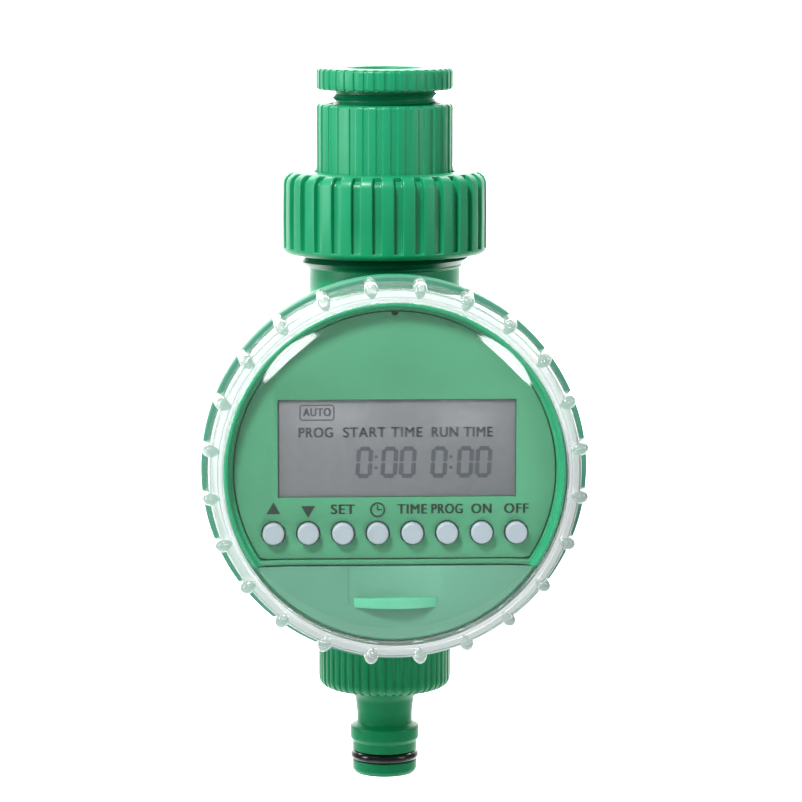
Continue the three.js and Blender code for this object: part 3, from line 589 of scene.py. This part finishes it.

# %% [markdown]
# ## Hose connector
# A finely ribbed collar screws onto the outlet. Below it, a quick-fit spigot has a catch ring
# for the hose coupling's jaws, and a black ring that seals inside it.

# %% Hose connector
# The spigot takes the green with painted shade from the dial above it.
spigot = turned(
    "hose_spigot",
    [
        (13.25, -136.6),
        (13.5, -136.3),
        (16.5, -136.3, 0.8),
        (16.5, -154.9, 2.6),
        (9.6, -154.9, 0.5),
        (7.4, -157.6, 3),
        (6.95, -161.5, 5),
        (6.9, -164.2, 0.6),
        (8.64, -165, 0.7),
        (8.64, -168, 0.7),
        (8.07, -168.9, 0.3),
        (8.07, -171.2, 0.2),
        (6, -171.2),
        (6, -173.7),
        (8.07, -173.7, 0.2),
        (8.05, -176, 0.4),
        (7.5, -177, 0.3),
        (4.5, -177, 0.2),
        (4.5, -149.1),
        (13.25, -149.1),
        (13.25, -136.6),
    ],
    spigot_painted_shade,
    sides=324,
)
ribbed(spigot, 50, 0.4, 0.28, (-154.6, -137.2), -91.3, 0.35)
placed("hose_spigot", "hose_connector", "hose_connector")

# %% Sealing ring
deselect()
bpy.ops.mesh.primitive_torus_add(
    major_radius=7.35 * MM,
    minor_radius=1.22 * MM,
    major_segments=128,
    minor_segments=28,
    location=(0, 0, -172.45 * MM),
)
finish_mesh("spigot_ring", black_rubber)
placed("spigot_ring", "hose_connector", "connector_o_ring", slot="black_rubber")

# %% [markdown]
# ## The dial's own frame
# The case lies on its back in its own frame while it is modelled: Z is the distance in front
# of the pipe, and X and Y run from the middle of the dial. `face_out` stands a piece up.

# %% Stand a piece on the dial
DIAL_Z = -91.6
FLANGE_R, FLANGE_BACK, FLANGE_FRONT = 45.3, 52.6, 56
RIM_R, RIM_FRONT = 39.7, 63.0
CAVITY_R, LEDGE_FRONT = 37.6, 60.6
WINDOW_BACK, COVER_FRONT = 64, 66
KEY_PITCH, KEY_Y = 8.14, -14.5


def face_out(name, body, *nodes, slot="green_plastic"):
    """Stand a piece of the dial up in front of the pipe, and fix it to its body."""
    moved(bpy.data.objects[name], z=DIAL_Z, turn_x=math.pi / 2)
    return placed(name, body, *nodes, slot=slot)


# %% Case front
front = turned(
    "case_front",
    [
        (CAVITY_R, FLANGE_BACK),
        (FLANGE_R, FLANGE_BACK, 0.3),
        (FLANGE_R, FLANGE_FRONT, 0.5),
        (RIM_R, FLANGE_FRONT),
        (RIM_R, RIM_FRONT, 0.3),
        (38.9, RIM_FRONT, 0.25),
        (38.3, LEDGE_FRONT, 0.2),
        (CAVITY_R, LEDGE_FRONT, 0.15),
        (CAVITY_R, FLANGE_BACK),
    ],
    case_green,
    sides=256,
)
combine(front, box("door_step", (-50, -50, 59.5), (50, -22.0, 66), case_green), "DIFFERENCE")
# Faces outside 40 mm, the flange, take the green with painted shade.
front.data.materials.append(flange_painted_shade)
for polygon in front.data.polygons:
    polygon.material_index = int(math.hypot(polygon.center.x, polygon.center.y) > 40 * MM)
face_out("case_front", "timer_body", "front_housing")

# %% [markdown]
# ## Floor and bay
# Behind the panel a floor closes the case. It is a disc with an opening for the display, a
# slot for the keys and a mouth for the battery drawer, cut with boolean tools.

# %% Case floor
FLOOR_BACK, FLOOR_FRONT = 56.2, 58.2
floor_section = [(20, FLOOR_BACK), (37.7, FLOOR_BACK), (37.7, FLOOR_FRONT), (20, FLOOR_FRONT)]
# The floor, seen only through the gaps, takes the green with painted shade.
floor_piece = turned("case_floor", floor_section, gap_shadow, sides=128)
combine(floor_piece, box("display_hole", (-29.8, -7.8, 50), (29.8, 18.8, 62), gap_shadow), "DIFFERENCE")
combine(floor_piece, box("key_slot", (-33, -18, 50), (33, -11, 62), gap_shadow), "DIFFERENCE")
combine(floor_piece, box("drawer_mouth", (-12.3, -35.6, 50), (12.3, -22.6, 62), gap_shadow), "DIFFERENCE")
face_out("case_floor", "timer_body")

# %% Crossbar
disc(38.3, 2.4, 59.4, sides=192)
halved(-20.85, keep_above=False)
halved(-22.0, keep_above=True)
softened(finish_mesh("crossbar", panel_green, smooth=False), 0.2)
face_out("crossbar", "timer_body")

# %% Face plate
CHORD_HALF = 31.1
disc(37.25, 1.6, 59.2)
halved(-20.5, keep_above=True)
bpy.ops.mesh.select_mode(type="EDGE")
bpy.ops.mesh.select_all(action="DESELECT")
plate_mesh = bmesh.from_edit_mesh(bpy.context.active_object.data)
for edge in plate_mesh.edges:
    a, b = (v.co for v in edge.verts)
    upright = abs(a.z - b.z) > 1 * MM
    at_corner = abs(abs(a.x) - CHORD_HALF * MM) < 0.4 * MM
    edge.select = upright and at_corner and -21 * MM < a.y < -20 * MM
bmesh.update_edit_mesh(bpy.context.active_object.data)
bpy.ops.mesh.bevel(offset=2.6 * MM, segments=8)
panel = finish_mesh("panel_plate", panel_green, smooth=False)
combine(panel, box("window_cut", (-27.45, -6.1, 57), (28.45, 17.0, 62), panel_green), "DIFFERENCE")
for index in range(8):
    drilled(panel, 2.9, 6, ((index - 3.5) * KEY_PITCH, KEY_Y, 59))
drilled(panel, 0.9, 6, (0, 37.3, 59), sides=24)
softened(panel, 0.22)
face_out("panel_plate", "timer_body", "face_plate", slot="panel_plastic")

# %% Display
cell = box("display_cell", (-29.4, -7.4, 55.6), (29.4, 18.3, 58.2), lcd_film)
raised = box("raised_window", (-27.35, -6.0, 57), (28.35, 16.9, 59.4), lcd_film)
combine(cell, raised, "UNION")
softened(cell, 0.12)
face_out("display_cell", "timer_body", "lcd_glass", slot="display_glass")

# %% [markdown]
# ## Lettering
# The display shows a start time and a run time, each as four-figure time with a leading blank.
# The words are generic functions. Figures are seven-segment bars, each a hexagon that leans
# forward a little. Words are text objects turned to thin meshes.


# %% Lettering helpers
def word(name, text, x, y, height, front, material, width, weight):
    """A bold word whose middle stands at (x, y) on the dial: two copies, slightly apart.

    weight is each copy's shift, in word heights.
    """
    deselect()
    bpy.ops.object.text_add()
    piece = bpy.context.active_object
    piece.data.body = text
    piece.data.align_x = "CENTER"
    piece.data.align_y = "CENTER"
    piece.data.extrude = 0.01 * MM
    piece.data.size = height / 0.7 * MM
    piece.data.space_character = 1.12
    bpy.ops.object.convert(target="MESH")
    piece = bpy.context.active_object
    piece.scale.x = width * MM / piece.dimensions.x
    piece.location = (x * MM, y * MM, front * MM)
    bpy.ops.object.transform_apply(location=True, rotation=True, scale=True)
    piece.name = name
    piece.data.materials.clear()
    piece.data.materials.append(material)
    twin = piece.copy()
    twin.data = piece.data.copy()
    bpy.context.collection.objects.link(twin)
    moved(piece, x=-weight * height)
    moved(twin, x=weight * height)
    return merged(name, [piece, twin])


def merged(name, pieces):
    """Join several meshes into one named piece."""
    deselect()
    for piece in pieces:
        piece.select_set(True)
    bpy.context.view_layer.objects.active = pieces[0]
    bpy.ops.object.join()
    pieces[0].name = name
    return pieces[0]


def bar(x0, y0, x1, y1, half, front, material):
    """A segment with pointed ends from one point to another."""
    deselect()
    length = math.hypot(x1 - x0, y1 - y0)
    bpy.ops.mesh.primitive_cylinder_add(vertices=6, radius=half * MM, depth=0.05 * MM, location=(0, 0, 0))
    piece = bpy.context.active_object
    bpy.ops.object.mode_set(mode="EDIT")
    hexagon = bmesh.from_edit_mesh(piece.data)
    for vertex in hexagon.verts:
        vertex.co.x, vertex.co.y = vertex.co.y, vertex.co.x
        vertex.co.x += math.copysign(length / 2 * MM - half * MM, vertex.co.x)
    bmesh.update_edit_mesh(piece.data)
    piece = finish_mesh("bar", material, smooth=False)
    angle = math.atan2(y1 - y0, x1 - x0)
    return moved(piece, (x0 + x1) / 2, (y0 + y1) / 2, front, turn_z=angle)


WINDOW_LEFT, WINDOW_TOP, WINDOW_W, WINDOW_H = -27.45, 17.0, 55.9, 23.1
INK_FRONT = 59.43


def on_display(u, v):
    """A point given in hundredths of the window, from its top left corner."""
    return WINDOW_LEFT + u * WINDOW_W / 100, WINDOW_TOP - v * WINDOW_H / 100


def zero(left, bottom, width, height):
    """The six bars of a seven-segment nought, leaning forward by 6 per cent."""
    half = 0.58
    gap = 0.12
    middle = bottom + height / 2
    top = bottom + height
    lean = 0.06
    strokes = [
        (left + gap, top, left + width - gap, top),
        (left + gap, bottom, left + width - gap, bottom),
        (left, bottom + gap, left, middle - gap / 2),
        (left, middle + gap / 2, left, top - gap),
        (left + width, bottom + gap, left + width, middle - gap / 2),
        (left + width, middle + gap / 2, left + width, top - gap),
    ]
    leaned = [(a + lean * (b - bottom), b, c + lean * (d - bottom), d) for a, b, c, d in strokes]
    return [bar(*stroke, half, INK_FRONT, segment_grey) for stroke in leaned]


def clock_figures(u0, u1):
    """0:00 between two places across the window."""
    x0, top = on_display(u0, 50.6)
    x1, bottom = on_display(u1, 78.4)
    height = top - bottom
    width = 2.85
    pieces = zero(x0, bottom, width, height)
    pieces += zero(x1 - 2 * width - 1.45, bottom, width, height)
    pieces += zero(x1 - width, bottom, width, height)
    colon = x0 + width + 1.55
    for level in (0.3, 0.7):
        y = bottom + level * height
        pieces.append(bar(colon - 0.45, y, colon + 0.45, y, 0.4, INK_FRONT, segment_grey))
    return pieces


# %% Display lettering
segments = clock_figures(33.4, 56.7) + clock_figures(64.7, 88.5)
for text, u, v, height, width in (
    ("AUTO", 16.6, 13.4, 1.9, 6.4),
    ("PROG", 16.0, 34.3, 2.35, 7.9),
    ("START TIME", 44.0, 34.3, 2.35, 18.4),
    ("RUN TIME", 77.2, 34.3, 2.35, 14.2),
):
    x, y = on_display(u, v)
    segments.append(word("label", text, x, y, height, INK_FRONT, segment_grey, width, 0.055))
merged("display_figures", segments)
face_out("display_figures", "timer_body", slot="display_glass")

# %% Rounded box round the word AUTO
frame_x, frame_y = on_display(16.5, 13.4)
low, high = (frame_x - 4.1, frame_y - 1.9, 59.4), (frame_x + 4.1, frame_y + 1.9, 59.45)
frame_piece = box("auto_frame", low, high, segment_grey)
pick(frame_piece)
bpy.ops.object.mode_set(mode="EDIT")
bpy.ops.mesh.select_mode(type="EDGE")
bpy.ops.mesh.select_all(action="DESELECT")
frame_mesh = bmesh.from_edit_mesh(frame_piece.data)
for edge in frame_mesh.edges:
    a, b = (v.co for v in edge.verts)
    edge.select = abs(a.z - b.z) > 0.04 * MM
bmesh.update_edit_mesh(frame_piece.data)
bpy.ops.mesh.bevel(offset=0.8 * MM, segments=6)
bpy.ops.mesh.select_mode(type="FACE")
bpy.ops.mesh.select_all(action="DESELECT")
frame_mesh = bmesh.from_edit_mesh(frame_piece.data)
for face in frame_mesh.faces:
    face.select = abs(face.normal.z) > 0.9
bmesh.update_edit_mesh(frame_piece.data)
bpy.ops.mesh.inset(thickness=0.3 * MM)
bpy.ops.mesh.bridge_edge_loops()
bpy.ops.object.mode_set(mode="OBJECT")
face_out("auto_frame", "timer_body", slot="display_glass")

# %% [markdown]
# ## Keys
# Eight round caps stand in the panel's holes. One cap is turned, then copied, and each copy
# has its own mesh and rides on its own body, so it can be pressed.

# %% Keys
KEYS = ["up", "down", "set", "clock", "time", "program", "on", "off"]
first_key = turned(
    "key_cap",
    [(0.4, 57), (3.05, 57), (3.05, 58.0), (2.52, 58.05), (2.52, 61.8, 0.55), (1.6, 61.8), (0.4, 61.72)],
    key_plastic,
    sides=64,
)
for index, key in enumerate(KEYS):
    cap = first_key.copy()
    cap.data = first_key.data.copy()
    cap.name = "key_" + key
    bpy.context.collection.objects.link(cap)
    moved(cap, x=(index - 3.5) * KEY_PITCH, y=KEY_Y)
    face_out(cap.name, "button_" + key, "button_" + key, slot="key_plastic")
bpy.data.objects.remove(first_key)

# %% Key labels
LABEL_Y = -9.0
LABEL_FRONT = 60.02
labels = []
for index, text in enumerate(["", "", "SET", "", "TIME", "PROG", "ON", "OFF"]):
    x = (index - 3.5) * KEY_PITCH
    if text:
        width = {"SET": 5.5, "TIME": 6.8, "PROG": 7.2, "ON": 4.6, "OFF": 5.6}[text]
        labels.append(word("label", text, x, LABEL_Y, 2.3, LABEL_FRONT, printed_ink, width, 0.06))
for index, turn in ((0, 0.0), (1, math.pi)):
    deselect()
    bpy.ops.mesh.primitive_cylinder_add(vertices=3, radius=1.9 * MM, depth=0.02 * MM)
    arrow = finish_mesh("arrow", printed_ink, smooth=False)
    labels.append(moved(arrow, (index - 3.5) * KEY_PITCH, LABEL_Y, LABEL_FRONT, turn_z=turn))
merged("key_labels", labels)
face_out("key_labels", "timer_body", slot="panel_plastic")

# %% Clock symbol
symbol_x = (3 - 3.5) * KEY_PITCH
deselect()
bpy.ops.mesh.primitive_torus_add(
    major_radius=1.58 * MM,
    minor_radius=0.2 * MM,
    major_segments=48,
    minor_segments=8,
    location=(symbol_x * MM, LABEL_Y * MM, LABEL_FRONT * MM),
)
dial_ring = finish_mesh("symbol_ring", printed_ink)
hands = [
    bar(symbol_x, LABEL_Y - 0.1, symbol_x, LABEL_Y + 1.1, 0.2, LABEL_FRONT, printed_ink),
    bar(symbol_x - 0.1, LABEL_Y, symbol_x + 1.1, LABEL_Y, 0.2, LABEL_FRONT, printed_ink),
]
merged("clock_symbol", [dial_ring] + hands)
face_out("clock_symbol", "timer_body", slot="panel_plastic")

# %% [markdown]
# ## Battery door
# The door is the part of a disc below a straight top edge. A shallow scoop makes room for a
# finger above the curved pull ridge. The tray behind it carries two cells.

# %% Battery door
disc(39.2, 1.4, 60.5)
halved(-22.3, keep_above=False)
# The door takes the green with painted reflection.
door = finish_mesh("drawer_door", door_painted_veil, smooth=False)
combine(door, box("scoop", (-11.0, -31.2, 61.05), (11.0, -20.0, 64), door_painted_veil), "DIFFERENCE")
softened(door, 0.12)
face_out("drawer_door", "battery_drawer", "battery_drawer")

# %% Pull ridge
RIDGE_R = 21.0
RIDGE_CHORD = 18.6
disc(RIDGE_R, 2.2, 0, sides=160)
halved(RIDGE_CHORD, keep_above=True)
# The ridge takes the brighter green with a painted highlight.
ridge = finish_mesh("pull_ridge", ridge_painted_highlight, smooth=False)
pick(ridge)
ridge.rotation_euler = (math.pi / 2, 0, 0)
ridge.location = (0, -30.9 * MM, (61.1 - RIDGE_CHORD) * MM)
bpy.ops.object.transform_apply(location=True, rotation=True, scale=True)
softened(ridge, 0.8, 4)
face_out("pull_ridge", "battery_drawer")

# %% Drawer tray
tray = box("drawer_tray", (-11.9, -35.2, 13.5), (11.9, -23.6, 59.9), case_green, 0.3)
tray_cut = box("tray_inside", (-11.0, -34.4, 12), (11.0, -20, 59.5), case_green)
combine(tray, tray_cut, "DIFFERENCE")
face_out("drawer_tray", "battery_drawer")

# %% [markdown]
# ## Clear cover
# The cover is one clear moulding: a slightly domed window, a wall and twenty-four grip lugs.
# Its window is 2 mm thick. Each lug is a stretched half ball, joined to the wall.

# %% Cover shell
DOME_STEPS = 10
DOME_FROM, DOME_WIDTH, DOME_DROP = 33, 7, 0.8
steps = range(DOME_STEPS + 1)
dome = [
    (DOME_FROM + DOME_WIDTH * t / DOME_STEPS, COVER_FRONT - DOME_DROP * (t / DOME_STEPS) ** 2) for t in steps
]
cover = turned(
    "cover_shell",
    [
        (10, COVER_FRONT),
        *dome,
        (40.5, 65.45, 0.25),
        (41.1, 65.45, 0.1),
        (41.25, 65.2, 0.1),
        (41.45, 65.45, 0.1),
        (43.2, 65.35, 0.8),
        (44.2, 56.3, 0.2),
        (42.4, 56.3, 0.1),
        (42.4, 58.6),
        (40.3, 58.6, 0.2),
        (40.3, WINDOW_BACK, 0.25),
        (10, WINDOW_BACK),
    ],
    window_clear,
    sides=384,
)

# %% Grip lugs
LUGS = 24
LUG_STEP = 360 / LUGS
lugs = []
for index in range(LUGS):
    deselect()
    place = (43.0 * MM, 0, 64.1 * MM)
    bpy.ops.mesh.primitive_uv_sphere_add(segments=24, ring_count=13, radius=1 * MM, location=place)
    bpy.context.active_object.scale = (2.35, 1.7, 1.9)
    bpy.ops.object.mode_set(mode="EDIT")
    bpy.ops.mesh.select_mode(type="VERT")
    bpy.ops.mesh.select_all(action="DESELECT")
    lug_mesh = bmesh.from_edit_mesh(bpy.context.active_object.data)
    for vertex in lug_mesh.verts:
        vertex.select = vertex.co.z < 0
    lug_mesh.select_flush_mode()
    bmesh.update_edit_mesh(bpy.context.active_object.data)
    bpy.ops.transform.translate(value=(0.55 * MM, 0, -5.6 * MM))
    lug = finish_mesh("lug", lug_clear)
    lugs.append(moved(lug, turn_z=math.radians(LUG_STEP * (index + 0.5))))
all_lugs = merged("lugs", lugs)
for piece in (cover, all_lugs):
    piece.data.materials.clear()
    for finish in (window_clear, pale_edge_painted_glare, wall_clear, lug_clear):
        piece.data.materials.append(finish)
for polygon in all_lugs.data.polygons:
    polygon.material_index = 3
# The front edge ring takes the finish with painted glare.
for polygon in cover.data.polygons:
    c = polygon.center
    radius = math.hypot(c.x, c.y)
    ring = 40.3 * MM < radius < 42.8 * MM and polygon.normal.z > 0.3 and c.z > 64.6 * MM
    polygon.material_index = 1 if ring else 2 if radius > 42.41 * MM else 0
combine(cover, all_lugs, "UNION")
pick(cover)
bpy.ops.object.shade_smooth_by_angle(angle=math.radians(32))
cover.visible_shadow = False
cover.visible_diffuse = False
face_out("cover_shell", "clear_cover", "clear_cover", slot="clear_plastic")

# %% Cover seal
ring_seal = turned(
    "cover_ring_seal",
    [(40.3, 56.3), (42.0, 56.3, 0.3), (42.0, 58.3, 0.4), (40.3, 58.3, 0.4), (40.3, 56.3)],
    clear_silicone,
    sides=192,
)
ring_seal.visible_shadow = False
face_out("cover_ring_seal", "cover_seal", "cover_seal", slot="white_seal")

# %% [markdown]
# ## Rear housing
# The case's back is a drum that meets the round pipe casing. Two turned solids are joined,
# and the rooms inside are cut away.

# %% Rear housing
rear = turned(
    "rear_shell",
    [
        (20, 9.5),
        (41.5, 9.5, 4.5),
        (44.2, 49.0, 0.3),
        (FLANGE_R, 49.4, 0.3),
        (FLANGE_R, 52.3, 0.2),
        (20, 52.3),
    ],
    case_green,
    sides=192,
)
deselect()
bpy.ops.mesh.primitive_cylinder_add(
    vertices=128, radius=21.5 * MM, depth=73.4 * MM, location=(0, -4.7 * MM, 0), rotation=(math.pi / 2, 0, 0)
)
combine(rear, bpy.context.active_object, "UNION")
softened(rear, 0.8, 3, 35)
room = turned("case_room", [(20, 11.9), (39.2, 11.9, 1), (42.2, 54), (20, 54)], case_green)
combine(rear, room, "DIFFERENCE")
for radius, low, high in ((19.0, -38.9, 34.6), (19.0, 30, 50), (13.4, -50, -30)):
    drilled(rear, radius, high - low, (0, (high + low) / 2, 0), sides=96, turn_x=math.pi / 2)
for sx in (-1, 1):
    for sy in (-1, 1):
        drilled(rear, 3.4, 12, (sx * 22.5, sy * 26.8, 15))
pick(rear)
bpy.ops.object.shade_smooth_by_angle(angle=math.radians(32))
face_out("rear_shell", "timer_body", "rear_housing")

# %% [markdown]
# ## Pieces inside
# The pieces inside keep their CAD shapes, which are right as they are, and get a real finish.

# %% Finishes for the carried-over solids
FINISH = {
    "green_plastic": abs_green,
    "panel_plastic": panel_green,
    "clear_plastic": window_clear,
    "key_plastic": key_plastic,
    "gear_plastic": natural_acetal,
    "black_rubber": black_rubber,
    "white_seal": pale_seal,
    "display_glass": lcd_film,
    "board_laminate": board_laminate,
    "cell_sleeve": cell_sleeve,
    "bright_steel": plated_steel,
    "brass": turned_brass,
}
slots = {entry["node"]: entry["material_slot"] for entry in frame["record"]["subparts"]}
for name, slot in slots.items():
    solid = frame["nodes"][name]
    solid = bpy.data.objects[solid] if isinstance(solid, str) else solid
    solid.data.materials.clear()
    solid.data.materials.append(FINISH[slot])
print("finished", len(slots), "CAD solids")

# %% [markdown]
# ## Studio
# The object stands before a plain white sweep, lit from the upper left. Two round lamps stand
# where the cover's window mirrors them, and light only the cover. A low lamp lights the dial.

# %% Backdrop
deselect()
bpy.ops.mesh.primitive_plane_add(size=1, location=(0, 0, 0))
floor = bpy.context.active_object
floor.name = "studio_sweep"
floor.scale = (7, 5, 1)
floor.location = (0, -0.1, -1.2)
bpy.ops.object.transform_apply(location=True, rotation=True, scale=True)
bpy.ops.object.mode_set(mode="EDIT")
bpy.ops.mesh.select_mode(type="EDGE")
bpy.ops.mesh.select_all(action="DESELECT")
sweep = bmesh.from_edit_mesh(floor.data)
for edge in sweep.edges:
    edge.select = all(v.co.y > 2 for v in edge.verts)
bmesh.update_edit_mesh(floor.data)
bpy.ops.mesh.extrude_edges_move(TRANSFORM_OT_translate={"value": (0, 0, 3)})
bpy.ops.mesh.select_all(action="DESELECT")
sweep = bmesh.from_edit_mesh(floor.data)
for edge in sweep.edges:
    edge.select = all(v.co.y > 2 and v.co.z < 0 for v in edge.verts)
bmesh.update_edit_mesh(floor.data)
bpy.ops.mesh.bevel(offset=1.2, segments=24)
bpy.ops.object.mode_set(mode="OBJECT")
bpy.ops.object.shade_smooth()
white_floor, floor_tree, floor_shader, floor_place = new_material("white_studio_paper")
fibre = node(floor_tree, "ShaderNodeTexNoise", Vector=floor_place, Scale=300.0, Detail=2.0).outputs[0]
floor_tree.links.new(ramp(floor_tree, fibre, "#fafafa", "#ffffff"), floor_shader.inputs["Base Color"])
floor_shader.inputs["Roughness"].default_value = 0.9
floor.data.materials.append(white_floor)

# %% Lights
world = bpy.data.worlds.new("white_room")
bpy.context.scene.world = world
world.use_nodes = True
background = world.node_tree.nodes["Background"]
background.inputs["Color"].default_value = (1, 1, 1, 1)
background.inputs["Strength"].default_value = 0.34
bpy.context.scene.view_settings.view_transform = "Standard"


def soft_box(name, place, aim, width, height, power):
    """An area lamp that looks at a point. Lengths are in metres, and power is in watts."""
    deselect()
    bpy.ops.object.light_add(type="AREA", location=place)
    lamp = bpy.context.active_object
    lamp.name = name
    lamp.data.shape = "RECTANGLE"
    lamp.data.size = width
    lamp.data.size_y = height
    lamp.data.energy = power
    lamp.rotation_euler = (Vector(aim) - Vector(place)).to_track_quat("-Z", "Y").to_euler()
    return lamp


soft_box("key_light", (-0.8, -1.15, 1.5), (0, 0, -0.09), 0.4, 0.4, 58)
soft_box("right_fill", (0.9, -0.5, 0.25), (0, 0, -0.03), 0.4, 0.6, 2.5)
soft_box("left_fill", (-1.05, -0.3, 0.2), (0, 0, -0.03), 0.3, 0.6, 5.5)
cover_only = bpy.data.collections.new("lit_by_discs")
cover_only.objects.link(cover)
for name, x, z in (("left_disc", -0.205, 0.042), ("right_disc", 0.298, 0.031)):
    disc = soft_box(name, (x, -1.0, z), (0, -0.06, -0.06), 0.16, 0.16, 1.4)
    disc.data.shape = "DISK"
    disc.light_linking.receiver_collection = cover_only
dial_only = bpy.data.collections.new("lit_by_dial_fill")
for name in ("panel_plate", "crossbar", "drawer_door", "pull_ridge", *("key_" + key for key in KEYS)):
    dial_only.objects.link(bpy.data.objects[name])
dial_fill = soft_box("dial_fill", (0.2, -0.45, -0.38), (0, -0.06, -0.11), 0.25, 0.25, 0.8)
dial_fill.light_linking.receiver_collection = dial_only
soft_box("backdrop_light", (0, 1.2, 1.3), (0, 2.2, -0.2), 3.0, 1.0, 150)
print("lights set")

# %% Camera
deselect()
FOCAL = 166.085
HEIGHT = 0.0358
azimuth = math.radians(-2.3)
pitch = math.radians(7.39)
distance = 0.915
bpy.ops.object.camera_add()
camera = bpy.context.active_object
camera.data.lens = FOCAL
camera.data.sensor_width = 36.0
camera.location = (distance * math.sin(azimuth), -distance * math.cos(azimuth), HEIGHT)
camera.rotation_euler = (math.pi / 2 - pitch, 0, azimuth)
camera.data.shift_x = 0.0205
camera.data.clip_start = 0.01
bpy.context.scene.camera = camera
print("camera set", FOCAL, "mm")
